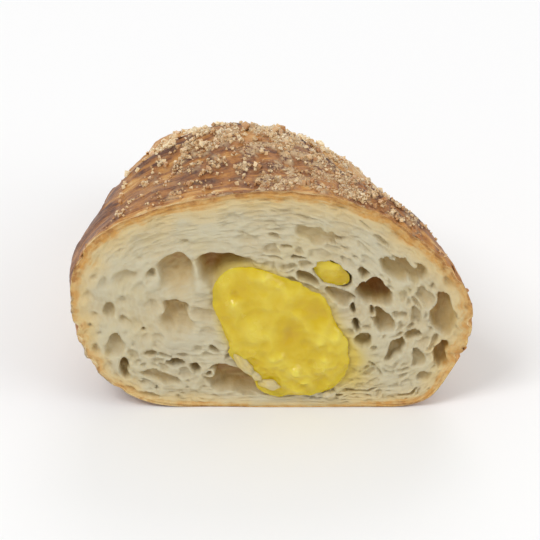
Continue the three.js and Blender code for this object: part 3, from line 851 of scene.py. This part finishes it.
def crust_finish(k, u, a, relief):
    """Places of the crust on wrap k, and what its material reads there."""
    skin = SimpleNamespace(turn=np.radians(a), pale=0 * u, torn=0)
    skin.s, out = wrap_place(k, u, a)
    skin.plain = crust_point(skin.s, a, out)
    skin.to_lip = lip(k + 1, a) - skin.s
    skin.from_lip = skin.s - lip(k, a)
    skin.roll = around(skin.turn, ROLL_RADIUS, skin.to_lip + WRAPS_APART * k)
    skin.blisters = field(skin.plain, "blisters")
    skin.creases = field(skin.roll, "creases")
    skin.pits = smooth(field(skin.plain, "pits"), *PITS)
    skin.patches = field(skin.plain, "patches")
    skin.layers = dough_layers(k, skin)
    skin.flank = smooth(-np.cos(skin.turn), *FLANK["faces"])
    if k > 0:
        skin.pale = pale_strip(skin)
        strip_layers = rings(skin.from_lip, STRIP_LAYERS["apart"], STRIP_LAYERS["wavy"], skin.creases)
        skin.layers = skin.layers + STRIP_LAYERS["high"] * skin.pale * strip_layers
    else:
        broken = smooth(skin.creases + TORN_LINE["blisters"] * skin.blisters, *TORN_LINE["broken"])
        skin.torn = np.exp(-(((skin.s - TORN_LINE["at"]) / TORN_LINE["wide"]) ** 2)) * broken
    spots = zip(skin.s, np.mod(a + 90, 360) - 90)
    skin.sugar = np.array([sugar_share(*spot) * sugar_clumps(*spot) for spot in spots])
    melted = GLAZE["mean"] + GLAZE["uneven"] * field(skin.plain, "melted sugar")
    glaze = np.clip(GLAZE["most"] * skin.sugar * melted, 0, 1)
    detail = skin.blisters + CRUST_RELIEF["creases"] * skin.creases - CRUST_RELIEF["pits"] * skin.pits
    detail = relief * (detail + CRUST_RELIEF["layers"] * skin.layers + glaze - CRUST_RELIEF["sunk"])
    if k == 0:
        detail = notch_cut_edge(detail, skin)
    detail = lerp(detail, TIP["level"], TIP["share"] * smooth(skin.s, WAVES_FADE_FROM, LENGTH))
    glaze = np.clip(glaze + GLAZE["torn"] * skin.torn * lerp(GLAZE["torn_at_right"], 1, skin.flank), 0, 1)
    marks = {"bake": crust_bake(k, skin), "roll": skin.roll, "glaze": glaze, "streak": crust_streaks(k, skin)}
    return crust_point(skin.s, a, out + detail), marks


# ---- the cut face ----
FACE_RADIUS = 6  # of the tube where the patterns of the crumb's layers are read
LAYERS_STRETCHED = 0.35
SOFT_LEFT = {"x": (-3, 5), "z": (10, 16)}
SOFT_LOW = (-5, 5.5, 7, 3.5)  # a soft spot: x, z, half width, half height
SOFTNESS = {"uneven": 0.6, "spots": 0.9, "range": (-0.1, 0.9)}
WARP = {"most": 1.1, "less_in_soft": 0.5, "clear_of_pocket": 5}
CELL_SHARE = 0.9
CELLS_BY_CREAM = {"share": 0.15, "from": 0.3, "to": 2.2, "kept_from": 5}
STRANDS = {"thin": 2.6, "high": 0.2, "high_on_top": 0.32}
TOP_CRUMB = {"faces": (0.3, 0.8), "thick": (6, 9)}
CRUMB_FOLDS = {"thin": 2.8, "high": 0.35}
CRUMB_SWELL = {"mean": 0.5, "uneven": 0.6, "grain": 0.06}
SMEAR = {"spot": (13.4, 8.6, 4, 5), "uneven": 0.4, "fills": 0.6}
STAIN = {"spot": (-5, 25.5, 4, 3), "strong": 0.4, "by_cream": 0.7, "reach": 1.5, "most": 0.9}
FLAT_BY_RIM = 2
RIM_UNEVEN = 0.35
FRILL = {"high": 0.12, "apart": 0.75, "wavy": 4}
# the depth at which a cell's painted shade is full, and the power it grows by
DEPTH_SHADE = {"full": 5, "power": 0.8}
# inside the cavity behind the custard: painted shade, no browned rim, and cream stain
IN_CAVITY = {"depth_shade": 0.8, "rim": 9, "soak": 0.6}


def cavity_finish(share, a):
    """Places inside the cavity that holds the cream, and what the crumb's material reads there: painted shade
    and cream stain.
    """
    phi = lerp(np.pi, np.pi / 2, share)
    return cream_point(CREAM, phi, np.radians(a), TUCK_UNDER), IN_CAVITY


def face_finish(share, a, inner_spot, rim_spot, inner, rim, crumb_depth):
    """Places of the crumb on the cut face, and what its material reads there.

    Each place is a share of the way from its spot on the custard's outline to its spot on the rim.
    """
    flat = lerp(inner_spot, rim_spot, share[:, None])
    to_rim, _ = nearest_rim(flat, rim)
    to_cream = np.hypot(*(flat - inner_spot).T)
    turn = np.radians(a)
    on_face = np.stack([flat[:, 0], 0 * flat[:, 0], flat[:, 1]], axis=-1)
    layers = around(turn, FACE_RADIUS, to_rim)

    # the cells, softer at the left and bent out of their ovals
    soft_spots = smooth(-flat[:, 0], *SOFT_LEFT["x"]) * smooth(flat[:, 1], *SOFT_LEFT["z"])
    soft_spots = np.maximum(soft_spots, bell(flat, *SOFT_LOW))
    soft = SOFTNESS["uneven"] * field(on_face, "softness") + SOFTNESS["spots"] * soft_spots
    warp = np.stack([field(on_face, "warp in x"), field(on_face, "warp in z")], axis=-1)
    pocket = bell(flat, POCKET["x"], POCKET["z"], WARP["clear_of_pocket"], WARP["clear_of_pocket"])
    warp *= (WARP["most"] - WARP["less_in_soft"] * soft_spots - pocket)[:, None]
    cells = crumb_cells(rim, inner)
    depth, cell_depth = crumb_relief(flat + warp, cells, smooth(soft, *SOFTNESS["range"]))
    clear = smooth(to_cream, CELLS_BY_CREAM["from"], CELLS_BY_CREAM["to"])
    shut = lerp(CELLS_BY_CREAM["share"], 1, clear)
    depth = depth * np.where(cell_depth > CELLS_BY_CREAM["kept_from"], 1, shut)

    # the skin between them, with thin strands and folds, and cream smeared over it
    on_top = smooth(np.sin(turn), *TOP_CRUMB["faces"]) * (1 - smooth(to_rim, *TOP_CRUMB["thick"]))
    strands = lerp(STRANDS["high"], STRANDS["high_on_top"], on_top)
    strands = strands * ridges(field(layers, "strands"), STRANDS["thin"])
    folds = CRUMB_FOLDS["high"] * ridges(field(on_face, "crumb folds"), CRUMB_FOLDS["thin"])
    swell = CRUMB_SWELL["mean"] + CRUMB_SWELL["uneven"] * field(on_face, "crumb swell")
    swell = swell + CRUMB_SWELL["grain"] * field(on_face, "crumb grain")
    skin = np.maximum(0, swell - strands - folds)
    smear = bell(flat, *SMEAR["spot"]) * (1 + SMEAR["uneven"] * field(on_face, "smear"))
    depth = CELL_SHARE * depth * (1 - SMEAR["fills"] * np.clip(smear, 0, 1)) + skin
    depth = depth * smooth(to_rim, 0, FLAT_BY_RIM) * crumb_depth

    thick = np.interp(a, *zip(*RIM_THICKNESS)) * (1 + RIM_UNEVEN * field(on_face, "rim"))
    waves = 1 - np.cos(2 * np.pi * to_rim / FRILL["apart"] + FRILL["wavy"] * field(layers, "frill"))
    frill = FRILL["high"] * waves * np.exp(-((to_rim / thick) ** 2))
    stain = STAIN["by_cream"] * np.exp(-((to_cream / STAIN["reach"]) ** 2))
    stain = stain + (smear + STAIN["strong"] * bell(flat, *STAIN["spot"]))
    points = on_face + np.stack([0 * depth, CUT_Y + depth + frill, 0 * depth], axis=-1)
    return points, {
        # painted shade, darker the further a point lies in its cell
        "depth_shade": np.clip(depth / DEPTH_SHADE["full"], 0, 1) ** DEPTH_SHADE["power"],
        "rim": to_rim / thick,
        "brown": np.interp(a, *zip(*RIM_BROWN)),
        "roll": layers * (LAYERS_STRETCHED, LAYERS_STRETCHED, 1),
        "soak": np.clip(stain, 0, STAIN["most"]),
    }


class CROISSANT_OT_pastry(bpy.types.Operator):
    """Makes the baked pastry: the crust's wraps with their lips, and the open crumb of the cut face"""

    bl_idname = "croissant.pastry"
    bl_label = "Pastry"

    def execute(self, context):
        sizes, colours = context.scene.croissant_sizes, context.scene.croissant_colours
        relief = sizes.crust_relief / MM
        rows = pastry_rows()
        kinds = np.array([kind for kind, _ in rows])
        shares = np.array([share for _, share in rows])
        angles = 360 * np.arange(COLUMNS) / COLUMNS - 90
        rim = crust_finish(0, 0 * angles, angles, relief)[0][:, (0, 2)]
        inner = cream_point(CREAM, 0 * angles + np.pi / 2, np.radians(angles), TUCK_UNDER)[:, (0, 2)]
        painted = {}

        def place(row, column):
            points = np.zeros((len(row), 3))
            painted["crumb_point"] = kinds[row] < 0
            for kind in (CAVITY, FACE, *range(HORN + 1)):
                here = kinds[row] == kind
                share, a, spots = shares[row][here], angles[column][here], column[here]
                if kind == CAVITY:
                    points[here], marks = cavity_finish(share, a)
                elif kind == FACE:
                    points[here], marks = face_finish(
                        share, a, inner[spots], rim[spots], inner, rim, sizes.crumb_depth)
                else:
                    points[here], marks = crust_finish(kind, share, a, relief)
                for name, values in marks.items():
                    size = (len(row), 3) if name == "roll" else len(row)
                    painted.setdefault(name, np.zeros(size))[here] = values
            return points

        mesh = sphere_mesh("croissant_pastry", COLUMNS, len(rows) - 1, place)
        crumb_point = painted.pop("crumb_point")
        paint(mesh, {"roll": painted.pop("roll"), **painted})
        materials = [crust_material(colours), crumb_material(colours)]
        piece = new_piece("croissant_pastry", mesh, materials)
        corners = np.empty(len(mesh.loops), int)
        mesh.loops.foreach_get("vertex_index", corners)
        starts = np.empty(len(mesh.polygons), int)
        mesh.polygons.foreach_get("loop_start", starts)
        on_crumb = np.logical_and.reduceat(crumb_point[corners], starts)
        mesh.polygons.foreach_set("material_index", on_crumb.astype(int))
        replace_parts(piece, "pastry")
        return {"FINISHED"}


BIT = {"sunk": 0.5, "thick": 1.1, "lumpy": 0.35, "lumps": 0.9, "lumps_apart": 7, "depth_shade": 0.1,
       "stain": 0.35, "stain_varies": 0.5, "most_stain": 0.6}


class CROISSANT_OT_crumb_bits(bpy.types.Operator):
    """Makes the small bits of crumb that lap over the edge of the custard"""

    bl_idname = "croissant.crumb_bits"
    bl_label = "Crumb bits"

    def execute(self, context):
        bm = bmesh.new()
        for n, (x, z, long, short, lean, proud) in enumerate(CRUMB_BITS):
            middle = Vector((x, CUT_Y + BIT["sunk"] - proud, z))
            place = Matrix.Translation(middle) @ Matrix.Rotation(-math.radians(lean), 4, "Y")
            made = bmesh.ops.create_uvsphere(bm, u_segments=36, v_segments=24, radius=1)
            for vert in made["verts"]:
                spot = vert.co * BIT["lumps"] + Vector((BIT["lumps_apart"] * n, 0, 0))
                lump = noise.fractal(spot, 1.0, 2.0, 2)
                shape = Vector((long * vert.co.x, BIT["thick"] * vert.co.y, short * vert.co.z))
                vert.co = place @ (shape * (1 + BIT["lumpy"] * lump)) * MM
        mesh = finished_mesh(bm, "crumb_bits")
        points = points_of(mesh)
        stain = BIT["stain"] + BIT["stain_varies"] * field(points, "bit stain")
        paint(mesh, {
            # a light, uneven touch of the crumb's painted shade
            "depth_shade": BIT["depth_shade"] + BIT["depth_shade"] * field(points, "bit colour"),
            "rim": IN_CAVITY["rim"],
            "brown": 0,
            "soak": np.clip(stain, 0, BIT["most_stain"]),
            "roll": points,
        })
        new_piece("crumb_bits", mesh, [bpy.data.materials["croissant_crumb"]])
        return {"FINISHED"}


# ---- the custard ----
# lumps of the custard's front, and a few dips: x, z, radius, height; the height also paints the colour,
# lighter on the lumps as painted light and darker in the dips as painted shade
CUSTARD_LUMPS = (
    (1.6, 10.6, 3.2, 0.6), (4.8, 7.8, 2.6, 0.7), (9.8, 9.8, 3.0, 0.8), (9.0, 14.2, 2.6, 0.6),
    (-6.2, 21.4, 2.2, 0.6), (-9.0, 20.6, 1.6, 0.4), (-0.8, 26.4, 2.6, 0.6), (3.4, 22.6, 2.8, 0.4),
    (-2.6, 15.4, 3.4, 0.4), (4.2, 3.8, 2.2, 0.5), (7.2, 5.6, 1.8, 0.4), (11.8, 14.8, 1.4, 0.5),
    (3.6, 15.4, 1.9, -0.5), (6.2, 13.6, 1.4, -0.45), (9.4, 19.2, 1.9, -0.3), (-6.0, 23.4, 1.0, -0.5),
    (9.8, 10.6, 0.9, 0.5), (4.6, 8.2, 1.1, 0.5), (2.2, 11.4, 1.0, 0.45), (0.6, 10.8, 0.9, 0.4),
    (8.8, 14.0, 1.2, 0.4), (10.6, 12.6, 0.9, 0.35), (-6.2, 21.9, 0.8, 0.5), (-0.6, 27.0, 1.0, 0.5),
    (1.8, 25.4, 1.0, 0.4), (6.0, 5.8, 0.9, 0.45), (-3.2, 17.6, 1.6, 0.25), (5.2, 19.4, 1.6, 0.25),
)
# each piece of custard: its mesh's columns and rows, its bulge without the lumps, and how far it laps over
BODY = {"columns": 260, "rows": 190, "bulge": 1.2, "overlap": 0.6}
SMALL_BODY = {"columns": 96, "rows": 64, "bulge": 0.1, "overlap": 0.1}
LUMP_SPREAD = 0.7
LUMPY_FRONT = (0, 0.5)  # the cosine of the way from front to back: no lumps at the first, all at the second
OUTLINE = {"radius": 9, "wavy": 2.2, "fringe": 0.6, "least": -0.3, "most": 2.6}
OVERLAP = {"spread": 0.4, "middle": 0.5, "steep": 3}  # by the same cosine
CUSTARD_SURFACE = {"level": 0.35, "wrinkles": 0.25, "curds": 0.35, "curds_below": (8, 15), "swell": 0.2,
                   "lowest": -0.9}
# how the custard's height is painted into its colour: painted light on the lumps, painted shade in the
# creases
LUMP_LIGHT_AND_SHADE = {"level": 0.5, "by_height": 0.42, "behind": 0.35}


def custard_material(colours):
    s = Shader(
        "custard", 0.24, Subsurface_Weight=0.4, Subsurface_Scale=0.003, Subsurface_Radius=(1.0, 0.75, 0.2),
        Coat_Weight=0.3, Coat_Roughness=0.06, Specular_IOR_Level=0.4)
    # the colour follows the front's height: the lighter lumps are painted light, the darker creases painted
    # shade
    height = s.vary(s.attribute("lump"), s.noise(120, 4), 0.12)
    height = s.vary(height, s.noise(420, 4), 0.1)
    colour = s.ramp(height, (
        (0.0, colours.custard_crease_shade), (0.45, colours.custard), (0.95, colours.custard_lit_lumps)))
    normal = s.bump(s.noise(260, 2), 0.0012, 0.35)
    normal = s.bump(s.noise(800, 2), 0.0004, 0.2, normal)
    return s.finish(colour, normal, s.between(s.noise(240, 3), 0.35, 0.65, 0.1, 0.28))


def custard_mesh(name, lobe, body, lumps):
    """A lobe of cream with soft lumps on the front, which laps a little over the edge of its cavity."""
    shades = {}

    def place(row, column):
        phi = np.pi * row / body["rows"]
        t = np.radians(360 * column / body["columns"] - 90)
        ahead = smooth(np.cos(phi), *LUMPY_FRONT)
        outline = around(t, OUTLINE["radius"], 0 * t)
        uneven = 1 + OUTLINE["wavy"] * field(outline, "custard outline")
        uneven = uneven + OUTLINE["fringe"] * field(outline, "custard fringe")
        off_edge = (np.cos(phi) / OVERLAP["spread"] - OVERLAP["middle"]) ** 2
        near_edge = np.exp(-off_edge * OVERLAP["steep"]) * (phi < np.pi / 2)
        over = body["overlap"] * np.clip(uneven, OUTLINE["least"], OUTLINE["most"]) * near_edge
        outward = np.stack([np.cos(t), 0 * t, np.sin(t)], axis=-1)
        points = cream_point(lobe, phi, t, 0, body["bulge"]) + outward * over[:, None]
        creases = np.abs(field(points, "custard creases"))
        creases = creases + CUSTARD_SURFACE["wrinkles"] * np.abs(field(points, "custard wrinkles"))
        curds = CUSTARD_SURFACE["curds"] * np.abs(field(points, "custard curds"))
        curds = curds * (1 - smooth(points[:, 2], *CUSTARD_SURFACE["curds_below"]))
        swell = CUSTARD_SURFACE["swell"] * field(points, "custard swell")
        height = CUSTARD_SURFACE["level"] - creases - curds + swell
        for x, z, radius, lift in lumps:
            height = height + lift * bell(points[:, (0, 2)], x, z, LUMP_SPREAD * radius, LUMP_SPREAD * radius)
        height = np.clip(height, CUSTARD_SURFACE["lowest"], lobe["bulge"] - body["bulge"])
        points[:, 1] -= height * ahead
        # painted light and shade: higher points lighter, creases and dips darker
        shade = np.clip(LUMP_LIGHT_AND_SHADE["level"] + LUMP_LIGHT_AND_SHADE["by_height"] * height, 0, 1)
        shades["lump"] = shade * ahead + LUMP_LIGHT_AND_SHADE["behind"] * (1 - ahead)
        return points

    mesh = sphere_mesh(name, body["columns"], body["rows"], place)
    paint(mesh, shades)
    return mesh


class CROISSANT_OT_custard(bpy.types.Operator):
    """Makes the custard that runs through the roll, and the small pocket of it above"""

    bl_idname = "croissant.custard"
    bl_label = "Custard"

    def execute(self, context):
        material = custard_material(context.scene.croissant_colours)
        main_mesh = custard_mesh("custard", CREAM, BODY, CUSTARD_LUMPS)
        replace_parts(new_piece("custard", main_mesh, [material]), "cream")
        small_mesh = custard_mesh("custard_pocket", POCKET, SMALL_BODY, ())
        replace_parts(new_piece("custard_pocket", small_mesh, [material]), "cream_pocket")
        return {"FINISHED"}


# ---- sugar and flakes ----
CRYSTAL = {"first": 2.4, "last": 1.3, "uneven": (0.85, 1.1), "width": (0.6, 0.95), "height": (0.6, 0.9),
           "sunk": 0.1, "chipped": 0.3, "bevel": 0.07}
FINE_CRYSTAL = {"size": (0.35, 0.95), "mostly_small": 1.6, "sunk": 0.1, "bevel": 0.05, "from": 0.8,
                "first_draw": 5000}
CLUMP = {"count": 6, "spread": 0.75, "size": 0.54, "uneven": (0.7, 1.1)}
SUGAR_FIELD = {"from": 2, "to": 60, "middle": 80, "spread": 62, "narrow": 34, "thins_out": (26, 50),
               "thin_share": 0.35}
CLUMPED = {"most": 1.3, "least": 0.04, "steep": 3.2, "more": 0.14, "along": 2.9, "round": 6, "shift": 3.3}
BARE = {"share": 0.85, "s": 7, "long": 3.5, "angle": 112, "wide": 22}  # a stretch of the first wrap
CRYSTAL_SCALE = {"first_wrap": 0.8, "later": 1.2, "between": (12, 26)}
CRYSTAL_TINT = {"chance": 0.7, "later": 0.4, "between": (14, 28)}
EVEN_STEPS = (0.7548776662, 0.569840291)

# numbers that keep the draws for different things apart, and those that scatter each draw
DRAWS = {"kept": 1, "size": 2, "width": 3, "height": 4, "turn": 5, "tint": 8, "corners": 10,
         "flake angle": 41, "flake place": 42, "flake width": 43, "flake tilt": 44, "flake corners": 50,
         "clump places": 80, "clump sizes": 110, "clump tints": 120}
SCATTER = {"number": 12.9898, "thing": 78.233, "size": 43758.5453}


def draw(i, thing, step=0):
    """A repeatable number from 0 to 1 for piece i, and for one of its steps where it has several."""
    v = math.sin(i * SCATTER["number"] + (DRAWS[thing] + step) * SCATTER["thing"]) * SCATTER["size"]
    return v - math.floor(v)


def draw_way(i, thing, step=0):
    """A repeatable step of up to half a unit each way along each axis."""
    return Vector([draw(i, thing, 3 * step + axis) - 0.5 for axis in range(3)])


def sugar_share(s, a):
    top = math.exp(-(((a - SUGAR_FIELD["middle"]) / SUGAR_FIELD["narrow"]) ** 2))
    return top * float(lerp(1, SUGAR_FIELD["thin_share"], smooth(s, *SUGAR_FIELD["thins_out"])))


def sugar_clumps(s, a):
    """How much fine sugar lies at a place, compared with its surroundings."""
    spot = Vector((s / CLUMPED["along"], a / CLUMPED["round"], CLUMPED["shift"]))
    heaped = CLUMPED["steep"] * max(0, noise.fractal(spot, 1.0, 2.0, 2) + CLUMPED["more"])
    clumps = min(CLUMPED["most"], CLUMPED["least"] + heaped)
    away = ((s - BARE["s"]) / BARE["long"]) ** 2 + ((a - BARE["angle"]) / BARE["wide"]) ** 2
    return clumps * (1 - BARE["share"] * math.exp(-away))


def crystal_scale(s):
    """The sugar is finer on the first wrap than on the others."""
    later = float(smooth(s, *CRYSTAL_SCALE["between"]))
    return lerp(CRYSTAL_SCALE["first_wrap"], CRYSTAL_SCALE["later"], later)


def crystal_tint(s, chance):
    """The sugar on the first wrap is browner than on the others."""
    later = float(smooth(s, *CRYSTAL_TINT["between"]))
    return CRYSTAL_TINT["chance"] * chance + CRYSTAL_TINT["later"] * later


def sugar_places(count, first=1, from_s=SUGAR_FIELD["from"], clumps=False):
    """Places spread over the field, fewer where the sugar is thin, and gathered in clumps if asked."""
    places = []
    i = first
    while len(places) < count:
        s = lerp(from_s, SUGAR_FIELD["to"], (i * EVEN_STEPS[0]) % 1)
        a = SUGAR_FIELD["middle"] + SUGAR_FIELD["spread"] * (2 * ((i * EVEN_STEPS[1]) % 1) - 1)
        share = sugar_share(s, a)
        if clumps:
            share *= sugar_clumps(s, a)
        if draw(i, "kept") < share:
            places.append((i, s, a))
        i += 1
    return places


def skin_frames(places):
    """The points and the outward normals of the skin at the places, in millimetres."""
    s = np.array([place[1] for place in places])
    a = np.array([place[2] for place in places])
    here = skin_at(s, a)
    normal = np.cross(skin_at(s + 0.4, a) - here, skin_at(s, a + 1) - here)
    return here, normal / np.linalg.norm(normal, axis=1)[:, None]


def sugar_material(colours):
    s = Shader(
        "sugar", 0.26, Subsurface_Weight=0.5, Subsurface_Scale=0.001, Subsurface_Radius=(1.0, 0.9, 0.8),
        Transmission_Weight=0.06, IOR=1.5)
    shade = s.vary(s.attribute("tint"), s.noise(330, 3), 0.15)
    colour = s.ramp(shade, ((0.0, colours.sugar_brown), (0.45, colours.sugar_dull), (0.95, colours.sugar)))
    return s.finish(colour, s.bump(s.noise(2600, 2), 0.0002, 0.3))


def crystals_mesh(name, crystals, bevel):
    """Blocky crystals with chipped corners. Each has a number for its draws, a middle, a size and a tint."""
    bm = bmesh.new()
    tints = bm.verts.layers.float.new("tint")
    for i, middle, size, tint in crystals:
        width = size * lerp(*CRYSTAL["width"], draw(i, "width"))
        block = Matrix.Diagonal((size, width, size * lerp(*CRYSTAL["height"], draw(i, "height")), 1))
        turn = Euler([2 * math.pi * draw(i, "turn", axis) for axis in range(3)]).to_matrix().to_4x4()
        place = Matrix.Translation(Vector(middle) * MM)
        made = bmesh.ops.create_cube(bm, size=MM, matrix=place @ turn @ block)
        for j, vert in enumerate(made["verts"]):
            vert.co += draw_way(i, "corners", j) * CRYSTAL["chipped"] * size * MM
            vert[tints] = tint
    bmesh.ops.bevel(
        bm, geom=bm.edges[:], offset=bevel * MM, offset_type="OFFSET", segments=1, profile=0.5,
        affect="EDGES", material=-1, clamp_overlap=True)
    return finished_mesh(bm, name)


def coarse_crystals(count):
    """Clumps of large crystals, the largest clump first."""
    places = sugar_places(count)
    crystals = []
    for n, ((i, s, _), spot, up) in enumerate(zip(places, *skin_frames(places))):
        size = lerp(CRYSTAL["first"], CRYSTAL["last"], n / max(1, count - 1))
        size *= lerp(*CRYSTAL["uneven"], draw(i, "size"))
        for j in range(CLUMP["count"]):
            way = draw_way(i, "clump places", j) * CLUMP["spread"] * size
            scale = CLUMP["size"] * size * crystal_scale(s)
            scale *= lerp(*CLUMP["uneven"], draw(i, "clump sizes", j))
            middle = spot - up * CRYSTAL["sunk"] * size + np.array(way)
            crystals.append((1000 * i + j, middle, scale, crystal_tint(s, draw(i, "clump tints", j))))
    return crystals


def fine_crystals(count):
    places = sugar_places(count, first=FINE_CRYSTAL["first_draw"], from_s=FINE_CRYSTAL["from"], clumps=True)
    crystals = []
    for (i, s, _), spot, up in zip(places, *skin_frames(places)):
        size = crystal_scale(s) * lerp(*FINE_CRYSTAL["size"], draw(i, "size") ** FINE_CRYSTAL["mostly_small"])
        middle = spot - up * FINE_CRYSTAL["sunk"] * size
        crystals.append((i, middle, size, crystal_tint(s, draw(i, "tint"))))
    return crystals


class CROISSANT_OT_sugar(bpy.types.Operator):
    """Strews coarse and fine sugar crystals over the top of the crust"""

    bl_idname = "croissant.sugar"
    bl_label = "Sugar"

    def execute(self, context):
        sizes = context.scene.croissant_sizes
        material = sugar_material(context.scene.croissant_colours)
        for name, crystals, bevel in (
                ("sugar_coarse", coarse_crystals(sizes.coarse_sugar), CRYSTAL["bevel"]),
                ("sugar_fine", fine_crystals(sizes.fine_sugar), FINE_CRYSTAL["bevel"])):
            flat_shaded(new_piece(name, crystals_mesh(name, crystals, bevel), [material]))
        return {"FINISHED"}


def flat_shaded(piece):
    piece.data.polygons.foreach_set("use_smooth", [False] * len(piece.data.polygons))


# loose flakes: angles round the roll, how far before a lip or behind the cut they lie, and their shape
FLAKE = {"angles": (-20, 200), "before_lip": (0.2, 1.5), "behind_cut": (0.4, 1.6), "width": (0.35, 0.8),
         "tilt": (-0.3, 0.3), "turn": 6.3, "sunk": 0.12, "thick": 0.14, "taper": 0.8, "corners": 7,
         "bent": 0.3, "long": 1.5, "short": 0.8}
FLAKE_FINISH = {"bake": 0.62, "patches": 0.4, "streak": 0.3}


def flake_places(count):
    """Places for the flakes, by turns at the first lip, at the second and at the cut."""
    places = []
    for i in range(count):
        a = lerp(*FLAKE["angles"], draw(i, "flake angle"))
        along = draw(i, "flake place")
        if i % 3 < 2:
            s = float(lip(i % 3 + 1, np.array(a))) - lerp(*FLAKE["before_lip"], along)
        else:
            s = lerp(*FLAKE["behind_cut"], along)
        places.append((i, s, a))
    return places


class CROISSANT_OT_flakes(bpy.types.Operator):
    """Makes thin flakes of crust that stand off the lips and the cut edge"""

    bl_idname = "croissant.flakes"
    bl_label = "Flakes"

    def execute(self, context):
        places = flake_places(context.scene.croissant_sizes.flakes)
        bm = bmesh.new()
        for (i, _, _), spot, up in zip(places, *skin_frames(places)):
            wide = lerp(*FLAKE["width"], draw(i, "flake width"))
            tips = [lerp(*FLAKE["tilt"], draw(i, "flake tilt", axis)) for axis in range(2)]
            tilt = Euler((*tips, FLAKE["turn"] * draw(i, "flake tilt", 2))).to_matrix().to_4x4()
            lie = Vector(up).to_track_quat("Z", "Y").to_matrix().to_4x4() @ tilt
            place = Matrix.Translation(Vector(spot - up * FLAKE["sunk"]) * MM) @ lie
            made = bmesh.ops.create_cone(
                bm, cap_ends=True, segments=FLAKE["corners"], radius1=wide * MM,
                radius2=FLAKE["taper"] * wide * MM, depth=FLAKE["thick"] * MM,
                matrix=place @ Matrix.Diagonal((FLAKE["long"], FLAKE["short"], 1, 1)))
            for j, vert in enumerate(made["verts"]):
                vert.co += draw_way(i, "flake corners", j // 2) * FLAKE["bent"] * wide * MM
        bmesh.ops.triangulate(bm, faces=bm.faces[:])
        bmesh.ops.recalc_face_normals(bm, faces=bm.faces[:])
        mesh = finished_mesh(bm, "crust_flakes")
        points = points_of(mesh)
        bake = FLAKE_FINISH["bake"] + FLAKE_FINISH["patches"] * field(points, "flakes")
        paint(mesh, {"bake": bake, "glaze": 0, "streak": FLAKE_FINISH["streak"], "roll": points})
        flat_shaded(new_piece("crust_flakes", mesh, [bpy.data.materials["croissant_crust"]]))
        return {"FINISHED"}


# ---- the studio ----
VIEW_ELEVATION = math.radians(30)
VIEW_TARGET = Vector((0.2, CUT_Y, 28)) * MM
SENSOR_WIDTH = 36  # the camera's film, in millimetres
CAMERA_CLIP = (0.05, 20)  # metres
FLOOR_HALF = 4  # metres
FLOOR_DROP = 0.05  # so that the floor's face and the base don't flicker
WORLD_LIGHT = 0.62
LAMPS = (
    # name, place in metres, size in metres, watts
    ("key", (-1.2, -1.3, 2.2), 1.1, 32),
    ("fill", (2.0, -1.2, 1.4), 1.8, 14),
    ("back", (0.3, 2.2, 1.8), 1.4, 12),
)


class CROISSANT_OT_stage(bpy.types.Operator):
    """Makes the plain floor, the soft light and the camera"""

    bl_idname = "croissant.stage"
    bl_label = "Stage"

    def execute(self, context):
        scene, sizes = context.scene, context.scene.croissant_sizes
        bm = bmesh.new()
        drop = Matrix.Translation((0, 0, -FLOOR_DROP * MM))
        bmesh.ops.create_grid(bm, x_segments=1, y_segments=1, size=FLOOR_HALF, matrix=drop)
        mesh = finished_mesh(bm, "floor")
        floor = bpy.data.objects.new("floor", mesh)
        scene.collection.objects.link(floor)
        s = Shader("floor", 0.7)
        s.surface.inputs["Base Color"].default_value = (*scene.croissant_colours.floor, 1)
        mesh.materials.append(s.material)

        for name, place, size, watts in LAMPS:
            lamp = bpy.data.lights.new(name, "AREA")
            lamp.size, lamp.energy = size, watts
            light = bpy.data.objects.new(name, lamp)
            light.location = place
            light.rotation_euler = (-Vector(place)).to_track_quat("-Z", "Y").to_euler()
            scene.collection.objects.link(light)
        world = bpy.data.worlds.new("studio")
        world.use_nodes = True
        world.node_tree.nodes["Background"].inputs["Color"].default_value = (1, 1, 1, 1)
        world.node_tree.nodes["Background"].inputs["Strength"].default_value = WORLD_LIGHT
        scene.world = world
        scene.view_settings.view_transform = "Standard"

        camera = bpy.data.cameras.new("camera")
        camera.sensor_width = SENSOR_WIDTH
        camera.lens = SENSOR_WIDTH * sizes.view_distance / sizes.view_width
        camera.clip_start, camera.clip_end = CAMERA_CLIP
        viewer = bpy.data.objects.new("camera", camera)
        back = Vector((0, -math.cos(VIEW_ELEVATION), math.sin(VIEW_ELEVATION)))
        viewer.location = VIEW_TARGET + back * sizes.view_distance
        viewer.rotation_euler = (-back).to_track_quat("-Z", "Y").to_euler()
        scene.collection.objects.link(viewer)
        scene.camera = viewer
        return {"FINISHED"}


OPERATORS = (
    CROISSANT_OT_stage,
    CROISSANT_OT_pastry,
    CROISSANT_OT_crumb_bits,
    CROISSANT_OT_custard,
    CROISSANT_OT_sugar,
    CROISSANT_OT_flakes,
)


class CROISSANT_PT_panel(bpy.types.Panel):
    """Lists the pieces, sizes and colours of the croissant half"""

    bl_idname = "CROISSANT_PT_panel"
    bl_label = "Cream croissant half"
    bl_space_type = "VIEW_3D"
    bl_region_type = "UI"
    bl_category = "Croissant"

    def draw(self, context):
        for operator in OPERATORS:
            self.layout.operator(operator.bl_idname)
        for group in (context.scene.croissant_sizes, context.scene.croissant_colours):
            for name in group.__annotations__:
                self.layout.prop(group, name)


CLASSES = (CroissantColours, CroissantSizes, *OPERATORS, CROISSANT_PT_panel)


def register():
    for cls in CLASSES:
        bpy.utils.register_class(cls)
    bpy.types.Scene.croissant_colours = PointerProperty(type=CroissantColours)
    bpy.types.Scene.croissant_sizes = PointerProperty(type=CroissantSizes)


def unregister():
    del bpy.types.Scene.croissant_sizes
    del bpy.types.Scene.croissant_colours
    for cls in reversed(CLASSES):
        bpy.utils.unregister_class(cls)


def main():
    register()
    bpy.ops.croissant.stage()
    bpy.ops.croissant.pastry()
    bpy.ops.croissant.crumb_bits()
    bpy.ops.croissant.custard()
    bpy.ops.croissant.sugar()
    bpy.ops.croissant.flakes()


if __name__ == "__main__":
    main()
